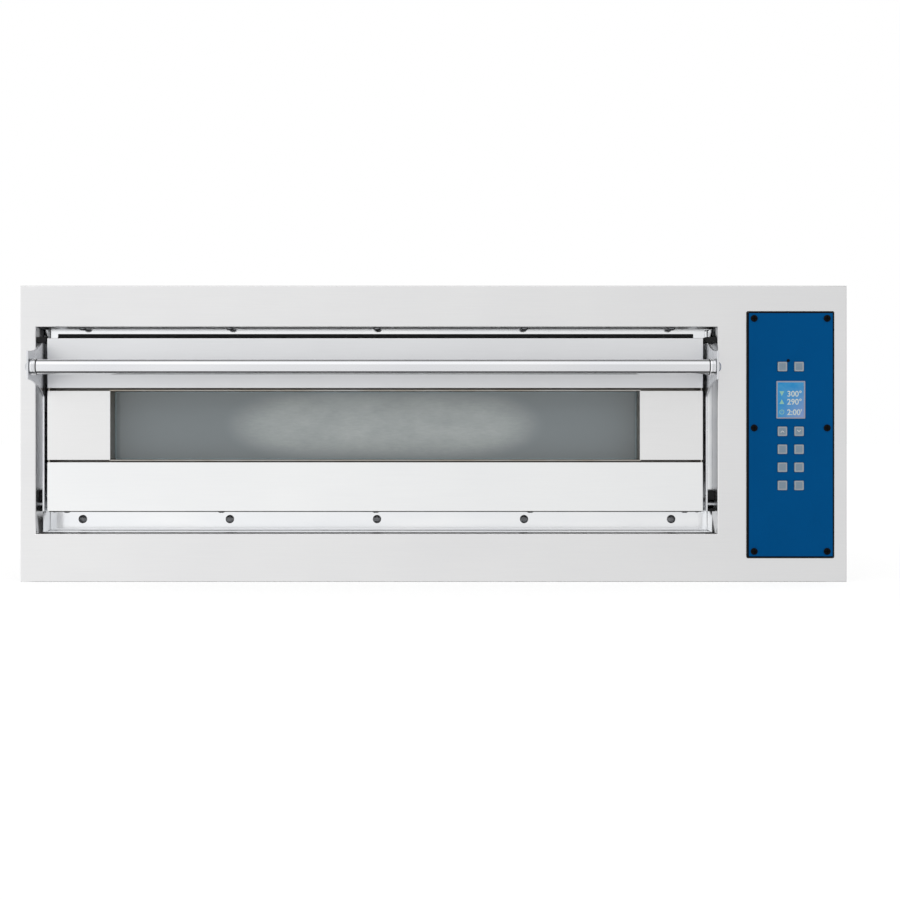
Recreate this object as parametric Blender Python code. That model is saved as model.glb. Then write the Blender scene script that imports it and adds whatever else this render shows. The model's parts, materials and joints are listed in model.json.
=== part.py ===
"""A single deck oven: sheet-metal casing, drop-down glazed door, baking chamber and control panel.

Metres, +Z up. The origin is the middle of the underside, the front faces -Y and the controls are on +X.
Every piece is one closed solid in an object named after it. Neighbouring pieces keep a small gap.
"""
import math

import bmesh
import bpy
from mathutils import Matrix, Vector

# Casing
WIDTH, DEPTH, HEIGHT = 1.200, 0.900, 0.430
LEFT, RIGHT = -WIDTH / 2, WIDTH / 2
FRONT, REAR = -DEPTH / 2, DEPTH / 2
SHEET = 0.0015                      # stainless sheet of the front and the door
THIN = 0.0012                       # sheet of the casing and of the hidden pans
GAP = 0.0003                        # gap between neighbouring pieces
RETURN = 0.025                      # depth of the fascia's outer edge
RIM = 0.016                         # height of the rims of the top cover and the base pan

# Recess that the door closes
RECESS_X, RECESS_Z = (-0.577, 0.412), (0.070, 0.370)
SEAM_Y = FRONT + 0.047              # the fascia's flange ends here and the mouth frame begins
RECESS_Y = FRONT + 0.095            # back of the recess
MOUTH_X, MOUTH_Z = (-0.525, 0.355), (0.150, 0.326)
HEAD_STRIP_X, HEAD_STRIP_BOTTOM = (-0.5668, 0.4018), 0.350   # strip just behind the top of the door

# Baking chamber
CHAMBER_X, CHAMBER_Z, CHAMBER_BACK = (-0.530, 0.360), (0.110, 0.330), 0.345
JACKET_X, JACKET_Z, JACKET_BACK = (-0.596, 0.447), (0.004, 0.425), 0.400
STONE_Z, STONE_Y, STONE_GAP = (0.135, 0.153), (-0.345, 0.340), 0.003
RAIL_Y, RAIL_WIDTH = (-0.338, 0.313), 0.020
HEATER_RADIUS, HEATER_PITCH, HEATER_RUNS = 0.00325, 0.080, 8
UPPER_HEATER_Z, LOWER_HEATER_Z = 0.318, 0.1149
LAMP_Y, LAMP_Z, LAMP_RADIUS = -0.200, 0.280, 0.024
PROBE_RADIUS, PROBE_TIP, PROBE_END = 0.003, 0.350, 0.470
UPPER_PROBE, LOWER_PROBE = (0.030, 0.300), (0.250, 0.165)
STEAM_X, STEAM_Z, STEAM_RADIUS, STEAM_END = -0.085, 0.290, 0.0295, 0.478

LINER_CUT, JACKET_CUT, STEAM_CUT = (0.34, 0.38), (0.34, 0.46), (0.30, 0.43)  # spans of the round cutters

# Door
DOOR_X, DOOR_Z, DOOR_BACK = (-0.5610, 0.3915), (0.1023, 0.3540), FRONT + 0.050
DOOR_MIDDLE = sum(DOOR_X) / 2
WINDOW_X, WINDOW_Z = (-0.4694, 0.2996), (0.1773, 0.2773)
UPPER_PANEL_BOTTOM, LOWER_PANEL_TOP = 0.2810, 0.1748
PANEL_DEPTH = 0.048
PANE, OUTER_PANE_Y, INNER_PANE_Y = 0.004, FRONT + 0.040, FRONT + 0.078
PLUG_X, PLUG_Z, PLUG_BACK = (-0.540, 0.370), (0.140, 0.336), RECESS_Y - 0.007
SEAL_INSET, SEAL_Y, SEAL_RISE = 0.011, (FRONT + 0.022, FRONT + 0.030), 0.0074
CHEEK, CHEEK_OFFSET, CHEEK_TOP = 0.0028, 0.47995, 0.346     # thickness, inner face from the middle, top
EAR_TIP, EAR_Z, EAR_BASE, EAR_END, EAR_SWEEP = FRONT - 0.100, 0.311, 0.042, 0.020, 2.2
HANDLE_Y, HANDLE_Z, HANDLE_RADIUS, HANDLE_WALL = FRONT - 0.086, 0.3089, 0.0105, 0.0015
BOLT_RADIUS, BOLT_RISE, BOLT_REACH = 0.0074, 0.0048, 0.016

# Hinge
PIVOT_Y, PIVOT_Z, PIN_RADIUS = FRONT + 0.035, 0.112, 0.006
PIN_HEAD, PIN_CHAMFER = 0.0030, 0.001
BEARING_Y, BEARING_Z = (FRONT + 0.020, SEAM_Y - 0.001), (0.1016, 0.1320)
RECESS_MIDDLE, PIN_REACH = sum(RECESS_X) / 2, 0.5115
SPRING_RADIUS, SPRING_WIRE, SPRING_TURNS, SPRING_PITCH = 0.0105, 0.0012, 4, 0.003

# Electronics bay and control panel
PARTITION_X = 0.450
PANEL_X, PANEL_Z, PANEL_THICK = (0.456, 0.5795), (0.0365, 0.391), 0.0024
GASKET_THICK, GASKET_EDGE = 0.001, 0.002
CUTOUT_X, CUTOUT_Z = (0.480, 0.556), (0.100, 0.345)
DISPLAY_X, DISPLAY_Z, DISPLAY_BEZEL = (0.4968, 0.5386), (0.2371, 0.2916), 0.002
KEY, KEY_PROUD, KEY_LIP = 0.0138, 0.0008, 0.0012
KEY_COLUMNS = {"left": 0.5055, "right": 0.5296}
KEY_ROWS = {"top": 0.3125, "upper": 0.2187, "middle": 0.1927, "lower": 0.1666, "bottom": 0.1403}
LED_X, LED_Z, LED_RADIUS = 0.5141, 0.3212, 0.002
FAN_X, FAN_Z, FAN_SIZE, FAN_DEPTH, FAN_BLADES = 0.525, 0.340, 0.080, 0.025, 7
GLAND_X, GLAND_Z, GLAND_SHANK, GLAND_BORE = 0.520, 0.060, 0.010, 0.0055
GLAND_INNER, GLAND_OUTER, GLAND_NUT, GLAND_CAP = REAR - 0.014, REAR + 0.022, 0.0135, 0.011
FAN_BACK, FAN_CLEAR, HUB_RADIUS = REAR - 0.006, 0.0025, 0.015
FAN_WINDOW = (0.005, 0.026)         # openings behind the fan, from and to its middle
PARTITION_Y, PARTITION_Z = (SEAM_Y + 0.003, 0.440), (0.004, 0.426)
RELAY_DEPTH, RELAY_Y, RELAY_Z = 0.050, (-0.060, 0.040), (0.150, 0.260)
SLOT_START, SLOT_PITCH, SLOT_COUNT, SLOT_WIDTH, SLOT_Z = 0.200, 0.014, 12, 0.005, (0.060, 0.130)
GRILLE_REACH, GRILLE_PITCH, GRILLE_COUNT = 0.0325, 0.010, 7
PAST = 0.01                         # how far a cutter reaches past the sheet it cuts

AXES = {"X": Vector((1, 0, 0)), "Y": Vector((0, 1, 0)), "Z": Vector((0, 0, 1))}
OUTWARD = {"X": Vector((0, 0, 1)), "Y": Vector((0, 0, 1)), "Z": Vector((1, 0, 0))}

# name: (linear colour, metallic, roughness)
FINISHES = {
    "brushed_stainless": ((0.76, 0.76, 0.75), 1.0, 0.34),
    "polished_stainless": ((0.86, 0.87, 0.89), 1.0, 0.10),
    "dark_steel": ((0.16, 0.15, 0.14), 1.0, 0.42),
    "zinc_steel": ((0.55, 0.56, 0.57), 1.0, 0.45),
    "spring_steel": ((0.30, 0.31, 0.33), 1.0, 0.30),
    "mineral_wool": ((0.55, 0.50, 0.36), 0.0, 0.95),
    "refractory_stone": ((0.62, 0.55, 0.45), 0.0, 0.90),
    "heater_sheath": ((0.20, 0.19, 0.18), 1.0, 0.50),
    "coated_glass": ((0.20, 0.22, 0.23), 0.0, 0.08),
    "black_rubber": ((0.012, 0.012, 0.013), 0.0, 0.60),
    "blue_enamel": ((0.0, 0.065, 0.20), 0.0, 0.35),
    "grey_key": ((0.36, 0.38, 0.40), 0.0, 0.45),
    "display_bezel": ((0.45, 0.46, 0.55), 0.0, 0.35),
    "black_plastic": ((0.02, 0.02, 0.022), 0.0, 0.50),
    "green_board": ((0.02, 0.14, 0.06), 0.0, 0.45),
    "nickel_brass": ((0.60, 0.58, 0.52), 1.0, 0.30),
}
materials = {}


def make_materials():
    """One Principled material for each finish."""
    for name, (colour, metallic, roughness) in FINISHES.items():
        material = bpy.data.materials.new(name)
        material.use_nodes = True
        shader = material.node_tree.nodes["Principled BSDF"]
        shader.inputs["Base Color"].default_value = (*colour, 1.0)
        shader.inputs["Metallic"].default_value = metallic
        shader.inputs["Roughness"].default_value = roughness
        materials[name] = material


def pivot(name, where):
    """An empty on a joint's axis, which carries the pieces that move with it."""
    empty = bpy.data.objects.new(name, None)
    empty.empty_display_size = 0.05
    empty.location = where
    bpy.context.collection.objects.link(empty)
    return empty


def place(obj, parent=None):
    """Link an object, keeping its place in the world under its parent."""
    bpy.context.collection.objects.link(obj)
    if parent:
        obj.parent = parent
        obj.matrix_parent_inverse = Matrix.Translation(-parent.location)
    return obj


def piece(name, mesh_data, finish, parent=None, smooth=None):
    """Turn a bmesh into a named object whose origin is the middle of its box."""
    mesh = bpy.data.meshes.new(name)
    mesh_data.to_mesh(mesh)
    mesh_data.free()
    mesh.materials.append(materials[finish])
    corners = [vertex.co for vertex in mesh.vertices]
    middle = Vector([(min(values) + max(values)) / 2 for values in zip(*corners)])
    mesh.transform(Matrix.Translation(-middle))
    if smooth:
        mesh.shade_smooth()
        mesh.set_sharp_from_angle(angle=math.radians(smooth))
    obj = bpy.data.objects.new(name, mesh)
    obj.location = middle
    return place(obj, parent)


def box(mesh_data, xs, ys, zs):
    """Add a closed box, given its span along each axis."""
    spans = (xs, ys, zs)
    middle = [(low + high) / 2 for low, high in spans]
    size = [high - low for low, high in spans]
    matrix = Matrix.Translation(middle) @ Matrix.Diagonal((*size, 1.0))
    bmesh.ops.create_cube(mesh_data, size=1.0, matrix=matrix)


def rod(mesh_data, axis, centre, span, radius, segments=24):
    """Add a closed cylinder along an axis; span is where it starts and ends along that axis."""
    along = AXES[axis]
    middle = Vector(centre)
    middle["XYZ".index(axis)] = sum(span) / 2
    turn = Vector((0, 0, 1)).rotation_difference(along).to_matrix().to_4x4()
    bmesh.ops.create_cone(mesh_data, cap_ends=True, segments=segments, radius1=radius, radius2=radius,
                          depth=span[1] - span[0], matrix=Matrix.Translation(middle) @ turn)


def block(name, finish, xs, ys, zs, parent=None):
    """A plain box-shaped piece."""
    mesh_data = bmesh.new()
    box(mesh_data, xs, ys, zs)
    return piece(name, mesh_data, finish, parent)


def boolean(obj, operation, *shapes):
    """Cut or join an object with a hidden tool; each shape is a function and its values."""
    mesh_data = bmesh.new()
    for add, *values in shapes:
        add(mesh_data, *values)
    tool = piece(f"{obj.name}_tool_{len(obj.modifiers)}", mesh_data, "black_plastic", obj.parent)
    tool.hide_render = True
    tool.display_type = "WIRE"
    modifier = obj.modifiers.new(operation.title(), "BOOLEAN")
    modifier.operation = operation
    modifier.solver = "EXACT"
    modifier.object = tool


def cut(obj, *shapes):
    boolean(obj, "DIFFERENCE", *shapes)


def join(obj, *shapes):
    boolean(obj, "UNION", *shapes)


def shrink(span, amount):
    """A span moved in by an amount at both ends; a negative amount moves it out."""
    return span[0] + amount, span[1] - amount


def turned(name, finish, profile, centre, axis, segments=32, closed=False, parent=None):
    """Spin a profile of (along, radius) points round an axis through centre."""
    along, outward = AXES[axis], OUTWARD[axis]
    base = Vector(centre)
    base["XYZ".index(axis)] = 0.0
    mesh_data = bmesh.new()
    rim = [mesh_data.verts.new(base + along * reach + outward * radius) for reach, radius in profile]
    edges = [mesh_data.edges.new(pair) for pair in zip(rim, rim[1:])]
    if closed:
        edges.append(mesh_data.edges.new((rim[-1], rim[0])))
    bmesh.ops.spin(mesh_data, geom=rim + edges, cent=base, axis=along, dvec=(0, 0, 0),
                   angle=math.tau, steps=segments, use_merge=True)
    bmesh.ops.remove_doubles(mesh_data, verts=mesh_data.verts, dist=1e-6)
    bmesh.ops.recalc_face_normals(mesh_data, faces=mesh_data.faces)
    return piece(name, mesh_data, finish, parent, smooth=40)


def extruded(name, finish, outline, xs, parent=None):
    """A plate with an outline of (Y, Z) points, extruded along X."""
    mesh_data = bmesh.new()
    near = [mesh_data.verts.new((xs[0], y, z)) for y, z in outline]
    face = mesh_data.faces.new(near)
    swept = bmesh.ops.extrude_face_region(mesh_data, geom=[face])
    far = [item for item in swept["geom"] if isinstance(item, bmesh.types.BMVert)]
    bmesh.ops.translate(mesh_data, verts=far, vec=(xs[1] - xs[0], 0, 0))
    bmesh.ops.recalc_face_normals(mesh_data, faces=mesh_data.faces)
    return piece(name, mesh_data, finish, parent)


def wire(name, finish, points, radius, resolution=2):
    """A round rod along a row of points."""
    curve = bpy.data.curves.new(name, "CURVE")
    curve.dimensions = "3D"
    curve.bevel_depth = radius
    curve.bevel_resolution = resolution
    curve.use_fill_caps = True
    spline = curve.splines.new("POLY")
    spline.points.add(len(points) - 1)
    for point, where in zip(spline.points, points):
        point.co = (*where, 1.0)
    curve.materials.append(materials[finish])
    return place(bpy.data.objects.new(name, curve))


def casing():
    """Fascia, mouth frame, top cover, base pan, side panels and rear panel."""
    fascia = block("front_fascia", "brushed_stainless", (LEFT, RIGHT), (FRONT, FRONT + RETURN), (0, HEIGHT))
    behind = FRONT + SHEET
    cut(fascia, (box, (LEFT + SHEET, RIGHT - SHEET), (behind, 0), (SHEET, HEIGHT - SHEET)))
    join(fascia, (box, shrink(RECESS_X, -SHEET), (FRONT + SHEET / 2, SEAM_Y), shrink(RECESS_Z, -SHEET)))
    cut(fascia, (box, RECESS_X, (FRONT - SHEET, 0), RECESS_Z), (box, CUTOUT_X, (FRONT - SHEET, 0), CUTOUT_Z))
    cut(fascia, (rod, "X", (0, PIVOT_Y, PIVOT_Z), shrink(RECESS_X, -2 * SHEET), PIN_RADIUS + 2 * GAP))

    mouth = block("mouth_frame", "polished_stainless", shrink(RECESS_X, -SHEET), (SEAM_Y + GAP, RECESS_Y),
                  shrink(RECESS_Z, -SHEET))
    cut(mouth, (box, RECESS_X, (FRONT, RECESS_Y - SHEET), RECESS_Z))
    cut(mouth, (box, MOUTH_X, (FRONT, 0), MOUTH_Z))
    strip_y = DOOR_BACK + 3 * GAP
    strip_z = (HEAD_STRIP_BOTTOM, RECESS_Z[1] + SHEET / 2)
    join(mouth, (box, HEAD_STRIP_X, (strip_y, strip_y + SHEET), strip_z))

    shell_y = (FRONT + RETURN + GAP, REAR)
    inner_y = shrink(shell_y, THIN)
    base = block("base_pan", "zinc_steel", (LEFT, RIGHT), shell_y, (0, RIM))
    cut(base, (box, (LEFT + THIN, RIGHT - THIN), inner_y, (THIN, HEIGHT)))
    cover = block("top_cover", "brushed_stainless", (LEFT, RIGHT), shell_y, (HEIGHT - RIM, HEIGHT))
    cut(cover, (box, (LEFT + THIN, RIGHT - THIN), inner_y, (0, HEIGHT - THIN)))

    wall_y, wall_z = shrink(inner_y, GAP), (THIN + GAP, HEIGHT - THIN - GAP)
    inset = THIN + GAP
    block("left_side_panel", "brushed_stainless", (LEFT + inset, LEFT + inset + THIN), wall_y, wall_z)
    right_x = (RIGHT - inset - THIN, RIGHT - inset)
    right = block("right_side_panel", "brushed_stainless", right_x, wall_y, wall_z)
    slots = [SLOT_START + SLOT_PITCH * step for step in range(SLOT_COUNT)]
    cut(right, *[(box, (RIGHT - PAST, RIGHT + PAST), (y, y + SLOT_WIDTH), SLOT_Z) for y in slots])

    rear_y = (wall_y[1] - THIN, wall_y[1])
    rear_x = shrink((LEFT, RIGHT), inset + THIN + GAP)
    rear = block("rear_panel", "brushed_stainless", rear_x, rear_y, wall_z)
    through = (REAR - PAST, REAR + PAST)
    cut(rear, (rod, "Y", (STEAM_X, 0, STEAM_Z), through, STEAM_RADIUS + GAP, 32),
        (rod, "Y", (GLAND_X, 0, GLAND_Z), through, GLAND_SHANK + GAP))
    grille = [FAN_Z - GRILLE_REACH + GRILLE_PITCH * step for step in range(GRILLE_COUNT)]
    grille_x = (FAN_X - GRILLE_REACH, FAN_X + GRILLE_REACH)
    cut(rear, *[(box, grille_x, through, (z, z + SLOT_WIDTH)) for z in grille])


def serpentine(height):
    """Points of a heating rod: straight runs along X with half-round bends, both ends on the right."""
    first = -HEATER_PITCH * (HEATER_RUNS - 1) / 2
    bend = HEATER_PITCH / 2
    ends = (CHAMBER_X[0] + 0.030 + bend, CHAMBER_X[1] - 0.030 - bend)
    points = [(PROBE_END, first, height)]
    for run in range(HEATER_RUNS - 1):
        side = run % 2
        middle = first + HEATER_PITCH * (run + 0.5)
        for step in range(7):
            angle = math.pi * step / 6
            reach = math.sin(angle) * bend * (1 if side else -1)
            points.append((ends[side] + reach, middle - math.cos(angle) * bend, height))
    points.append((PROBE_END, -first, height))
    return points


def wall_passages(span, spare):
    """Holes along X for the heater ends, the probes and the lamp, through any wall right of the chamber."""
    heater_y = HEATER_PITCH * (HEATER_RUNS - 1) / 2
    rods = [(y, z, HEATER_RADIUS) for y in (-heater_y, heater_y) for z in (UPPER_HEATER_Z, LOWER_HEATER_Z)]
    rods += [(*UPPER_PROBE, PROBE_RADIUS), (*LOWER_PROBE, PROBE_RADIUS)]
    return [(rod, "X", (0, y, z), span, radius + spare, 16) for y, z, radius in rods]


def chamber():
    """Liner, seal, insulation, stones on their rails, heating rods, lamp, probes and steam outlet."""
    front = RECESS_Y + GAP
    liner = block("chamber_liner", "dark_steel", shrink(CHAMBER_X, -SHEET), (front, CHAMBER_BACK + SHEET),
                  shrink(CHAMBER_Z, -SHEET))
    cut(liner, (box, CHAMBER_X, (FRONT, CHAMBER_BACK), CHAMBER_Z))
    lamp_hole = (rod, "X", (0, LAMP_Y, LAMP_Z), JACKET_CUT, LAMP_RADIUS + GAP, 32)
    steam_hole = (rod, "Y", (STEAM_X, 0, STEAM_Z), STEAM_CUT, STEAM_RADIUS + GAP, 32)
    cut(liner, *wall_passages(LINER_CUT, GAP), lamp_hole, steam_hole)

    jacket = block("insulation_jacket", "mineral_wool", JACKET_X, (front, JACKET_BACK), JACKET_Z)
    clear = SHEET + 5 * GAP
    cut(jacket, (box, shrink(CHAMBER_X, -clear), (FRONT, CHAMBER_BACK + clear), shrink(CHAMBER_Z, -clear)))
    cut(jacket, *wall_passages(JACKET_CUT, 3 * GAP), steam_hole,
        (rod, "X", (0, LAMP_Y, LAMP_Z), JACKET_CUT, LAMP_RADIUS + 2 * GAP, 32))

    seal_y = (PLUG_BACK + GAP, RECESS_Y - SHEET - GAP)
    seal = block("mouth_seal", "black_rubber", shrink(MOUTH_X, -0.010), seal_y, shrink(MOUTH_Z, -0.008))
    cut(seal, (box, shrink(MOUTH_X, -0.001), (FRONT, 0), shrink(MOUTH_Z, -0.001)))

    middle = sum(CHAMBER_X) / 2
    half = STONE_GAP / 2
    block("baking_stone_left", "refractory_stone", (CHAMBER_X[0] + 0.002, middle - half), STONE_Y, STONE_Z)
    block("baking_stone_right", "refractory_stone", (middle + half, CHAMBER_X[1] - 0.002), STONE_Y, STONE_Z)
    rail_x, top, bottom = shrink(CHAMBER_X, 0.001), STONE_Z[0] - GAP, CHAMBER_Z[0] + GAP
    for name, start in zip(("front", "rear"), RAIL_Y):
        outline = [(start, bottom), (start + SHEET, bottom), (start + SHEET, top - SHEET),
                   (start + RAIL_WIDTH, top - SHEET), (start + RAIL_WIDTH, top), (start, top)]
        extruded(f"stone_rail_{name}", "dark_steel", outline, rail_x)

    wire("upper_heater", "heater_sheath", serpentine(UPPER_HEATER_Z), HEATER_RADIUS)
    wire("lower_heater", "heater_sheath", serpentine(LOWER_HEATER_Z), HEATER_RADIUS)
    lamp_and_probes()

    steam = STEAM_RADIUS
    flange = REAR - THIN
    bore, rim = steam - 0.002, steam + 0.0125
    turned("steam_outlet", "polished_stainless",
           [(CHAMBER_BACK, bore), (STEAM_END, bore), (STEAM_END, steam), (flange + 0.002, steam),
            (flange + 0.002, rim), (flange, rim), (flange, steam), (CHAMBER_BACK, steam)],
           (STEAM_X, 0, STEAM_Z), "Y", closed=True)


def lamp_and_probes():
    """Chamber lamp with its glass, and two temperature probes, all in the right-hand wall."""
    wall = CHAMBER_X[1]
    bore, flange, back = LAMP_RADIUS - 0.0015, LAMP_RADIUS + 0.006, PARTITION_X - 0.020
    turned("lamp_housing", "zinc_steel",
           [(back - 0.0015, 0), (back - 0.0015, bore), (wall - 0.0023, bore), (wall - 0.0023, flange),
            (wall - GAP, flange), (wall - GAP, LAMP_RADIUS), (back, LAMP_RADIUS), (back, 0)],
           (0, LAMP_Y, LAMP_Z), "X")
    turned("lamp_glass", "coated_glass", [(wall, 0), (wall, bore - GAP), (wall + 0.004, bore - GAP),
                                          (wall + 0.004, 0)], (0, LAMP_Y, LAMP_Z), "X")
    for name, (y, z) in (("upper_probe", UPPER_PROBE), ("lower_probe", LOWER_PROBE)):
        tip = PROBE_TIP + PROBE_RADIUS
        profile = [(PROBE_TIP, 0), (PROBE_TIP + 0.001, PROBE_RADIUS * 0.75), (tip, PROBE_RADIUS),
                   (PROBE_END, PROBE_RADIUS), (PROBE_END, 0)]
        turned(name, "polished_stainless", profile, (0, y, z), "X", segments=16)


def key(name, x, z):
    """A square push key with a lip behind the panel that keeps it in."""
    mesh_data = bmesh.new()
    half, face = KEY / 2, FRONT - GAP - GASKET_THICK - GAP - PANEL_THICK - KEY_PROUD
    lip = face + KEY_PROUD + PANEL_THICK + GAP
    chamfer = 0.0006
    layers = [(face, half - chamfer), (face + chamfer, half), (lip, half), (lip, half + KEY_LIP),
              (lip + KEY_LIP, half + KEY_LIP)]
    rings = []
    for y, reach in layers:
        corners = [(-reach, -reach), (reach, -reach), (reach, reach), (-reach, reach)]
        rings.append([mesh_data.verts.new((x + dx, y, z + dz)) for dx, dz in corners])
    for low, high in zip(rings, rings[1:]):
        for corner in range(4):
            after = (corner + 1) % 4
            mesh_data.faces.new((low[corner], low[after], high[after], high[corner]))
    mesh_data.faces.new(rings[0])
    mesh_data.faces.new(rings[-1])
    bmesh.ops.recalc_face_normals(mesh_data, faces=mesh_data.faces)
    return piece(name, mesh_data, "grey_key", pivot(f"{name}_slide", (x, face, z)))


def controls():
    """Gasket, blue panel, display, ten keys, and the board behind them."""
    back = FRONT - GAP
    gasket_y = (back - GASKET_THICK, back)
    gasket = block("control_gasket", "black_rubber", shrink(PANEL_X, -GASKET_EDGE), gasket_y,
                   shrink(PANEL_Z, -GASKET_EDGE))
    cut(gasket, (box, CUTOUT_X, (FRONT - 0.01, 0), CUTOUT_Z))
    back = FRONT - GAP - GASKET_THICK - GAP
    through = (back - 0.01, back + 0.01)
    panel = block("control_panel_plate", "blue_enamel", PANEL_X, (back - PANEL_THICK, back), PANEL_Z)
    holes = [(box, (x - KEY / 2 - GAP, x + KEY / 2 + GAP), through, (z - KEY / 2 - GAP, z + KEY / 2 + GAP))
             for x in KEY_COLUMNS.values() for z in KEY_ROWS.values()]
    cut(panel, *holes, (box, shrink(DISPLAY_X, -GAP), through, shrink(DISPLAY_Z, -GAP)),
        (rod, "Y", (LED_X, 0, LED_Z), through, LED_RADIUS, 12))

    face = back - PANEL_THICK - 0.0005
    display = block("display_module", "display_bezel", DISPLAY_X, (face, FRONT + 0.010), DISPLAY_Z)
    cut(display, (box, shrink(DISPLAY_X, DISPLAY_BEZEL), (face - 0.01, face + 0.0006),
                  shrink(DISPLAY_Z, DISPLAY_BEZEL)))
    for row, z in KEY_ROWS.items():
        for column, x in KEY_COLUMNS.items():
            key(f"key_{row}_{column}", x, z)
    block("control_board", "green_board", shrink(CUTOUT_X, 0.004), (FRONT + 0.0140, FRONT + 0.0156),
          shrink(CUTOUT_Z, 0.004))


def electronics_bay():
    """Partition, relay block, cooling fan and cable gland."""
    partition = block("bay_partition", "zinc_steel", (PARTITION_X, PARTITION_X + THIN), PARTITION_Y,
                      PARTITION_Z)
    cut(partition, *wall_passages((PARTITION_X - PAST, PARTITION_X + PAST), 3 * GAP))
    mount = PARTITION_X + THIN + GAP
    block("relay_block", "black_plastic", (mount, mount + RELAY_DEPTH), RELAY_Y, RELAY_Z)

    half = FAN_SIZE / 2
    fan_y = (FAN_BACK - FAN_DEPTH, FAN_BACK)
    frame = block("cooling_fan_frame", "black_plastic", (FAN_X - half, FAN_X + half), fan_y,
                  (FAN_Z - half, FAN_Z + half))
    cut(frame, (rod, "Y", (FAN_X, 0, FAN_Z), (fan_y[0] - PAST, fan_y[1] - 0.003), half - FAN_CLEAR, 32))
    near, far = FAN_WINDOW
    windows = [((FAN_X + side * near, FAN_X + side * far), (FAN_Z + lift * near, FAN_Z + lift * far))
               for side in (-1, 1) for lift in (-1, 1)]
    cut(frame, *[(box, sorted(xs), (fan_y[1] - PAST, REAR), sorted(zs)) for xs, zs in windows])

    shaft = pivot("fan_shaft", (FAN_X, sum(fan_y) / 2, FAN_Z))
    hub_y = (fan_y[0] + 0.002, fan_y[1] - 0.005)
    mesh_data = bmesh.new()
    rod(mesh_data, "Y", (FAN_X, 0, FAN_Z), hub_y, HUB_RADIUS, 28)
    rotor = piece("fan_rotor", mesh_data, "black_plastic", shaft, smooth=40)
    join(rotor, *[(blade, sum(hub_y) / 2, math.tau * step / FAN_BLADES) for step in range(FAN_BLADES)])

    flange = REAR - THIN
    nut = flange + 0.009
    turned("cable_gland", "nickel_brass",
           [(GLAND_INNER, GLAND_BORE), (GLAND_OUTER, GLAND_BORE), (GLAND_OUTER, GLAND_CAP - 0.002),
            (GLAND_OUTER - 0.003, GLAND_CAP), (nut, GLAND_CAP), (nut, GLAND_NUT), (flange, GLAND_NUT),
            (flange, GLAND_SHANK), (GLAND_INNER, GLAND_SHANK)],
           (GLAND_X, 0, GLAND_Z), "Y", segments=24, closed=True)


def blade(mesh_data, middle, turn):
    """One pitched fan blade, from inside the hub to near the frame."""
    start, end, chord, thick, pitch = 0.012, 0.034, 0.014, 0.0016, math.radians(38)
    spin = Matrix.Translation((FAN_X, middle, FAN_Z)) @ Matrix.Rotation(turn, 4, "Y")
    tilt = Matrix.Translation(((start + end) / 2, 0, 0)) @ Matrix.Rotation(pitch, 4, "X")
    size = Matrix.Diagonal((end - start, chord, thick, 1.0))
    bmesh.ops.create_cube(mesh_data, size=1.0, matrix=spin @ tilt @ size)


def pan_with_tunnel(name, finish, xs, ys, zs, sheet, parent):
    """A pan that is open at the front, with the window's tunnel through it."""
    pan = block(name, finish, xs, ys, zs, parent)
    cut(pan, (box, shrink(xs, sheet), (FRONT - 0.01, ys[1] - sheet), shrink(zs, sheet)))
    join(pan, (box, shrink(WINDOW_X, -sheet), (ys[0], ys[1] - sheet / 2), shrink(WINDOW_Z, -sheet)))
    cut(pan, (box, WINDOW_X, (FRONT - 0.01, 0), WINDOW_Z))
    return pan


def door(parent):
    """Frame, front panels, panes, inner panel and top seal."""
    inset = SHEET + GAP
    pan_with_tunnel("door_frame", "dark_steel", shrink(DOOR_X, inset), (FRONT + inset, DOOR_BACK),
                    shrink(DOOR_Z, inset), SHEET, parent)
    pan_with_tunnel("door_inner_panel", "polished_stainless", PLUG_X, (DOOR_BACK + GAP, PLUG_BACK), PLUG_Z,
                    THIN, parent)
    depth, behind = (FRONT, FRONT + PANEL_DEPTH), (FRONT + SHEET, 0)
    upper = block("door_upper_panel", "brushed_stainless", DOOR_X, depth, (UPPER_PANEL_BOTTOM, DOOR_Z[1]),
                  parent)
    cut(upper, (box, shrink(DOOR_X, SHEET), behind, (0.2, DOOR_Z[1] - SHEET)))
    lower = block("door_lower_panel", "brushed_stainless", DOOR_X, depth, (DOOR_Z[0], LOWER_PANEL_TOP),
                  parent)
    cut(lower, (box, shrink(DOOR_X, SHEET), behind, (DOOR_Z[0] + SHEET, 0.2)))
    left = block("door_infill_left", "brushed_stainless", (DOOR_X[0], WINDOW_X[0]), depth, WINDOW_Z, parent)
    cut(left, (box, (DOOR_X[0] + SHEET, 0), behind, (0, HEIGHT)))
    right = block("door_infill_right", "brushed_stainless", (WINDOW_X[1], DOOR_X[1]), depth, WINDOW_Z,
                  parent)
    cut(right, (box, (0, DOOR_X[1] - SHEET), behind, (0, HEIGHT)))

    pane_x, pane_z = shrink(WINDOW_X, GAP), shrink(WINDOW_Z, GAP)
    block("door_outer_glass", "coated_glass", pane_x, (OUTER_PANE_Y, OUTER_PANE_Y + PANE), pane_z, parent)
    block("door_inner_glass", "coated_glass", pane_x, (INNER_PANE_Y, INNER_PANE_Y + PANE), pane_z, parent)
    block("door_top_seal", "black_rubber", shrink(DOOR_X, SEAL_INSET), SEAL_Y,
          (DOOR_Z[1] + GAP, DOOR_Z[1] + SEAL_RISE), parent)


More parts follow.
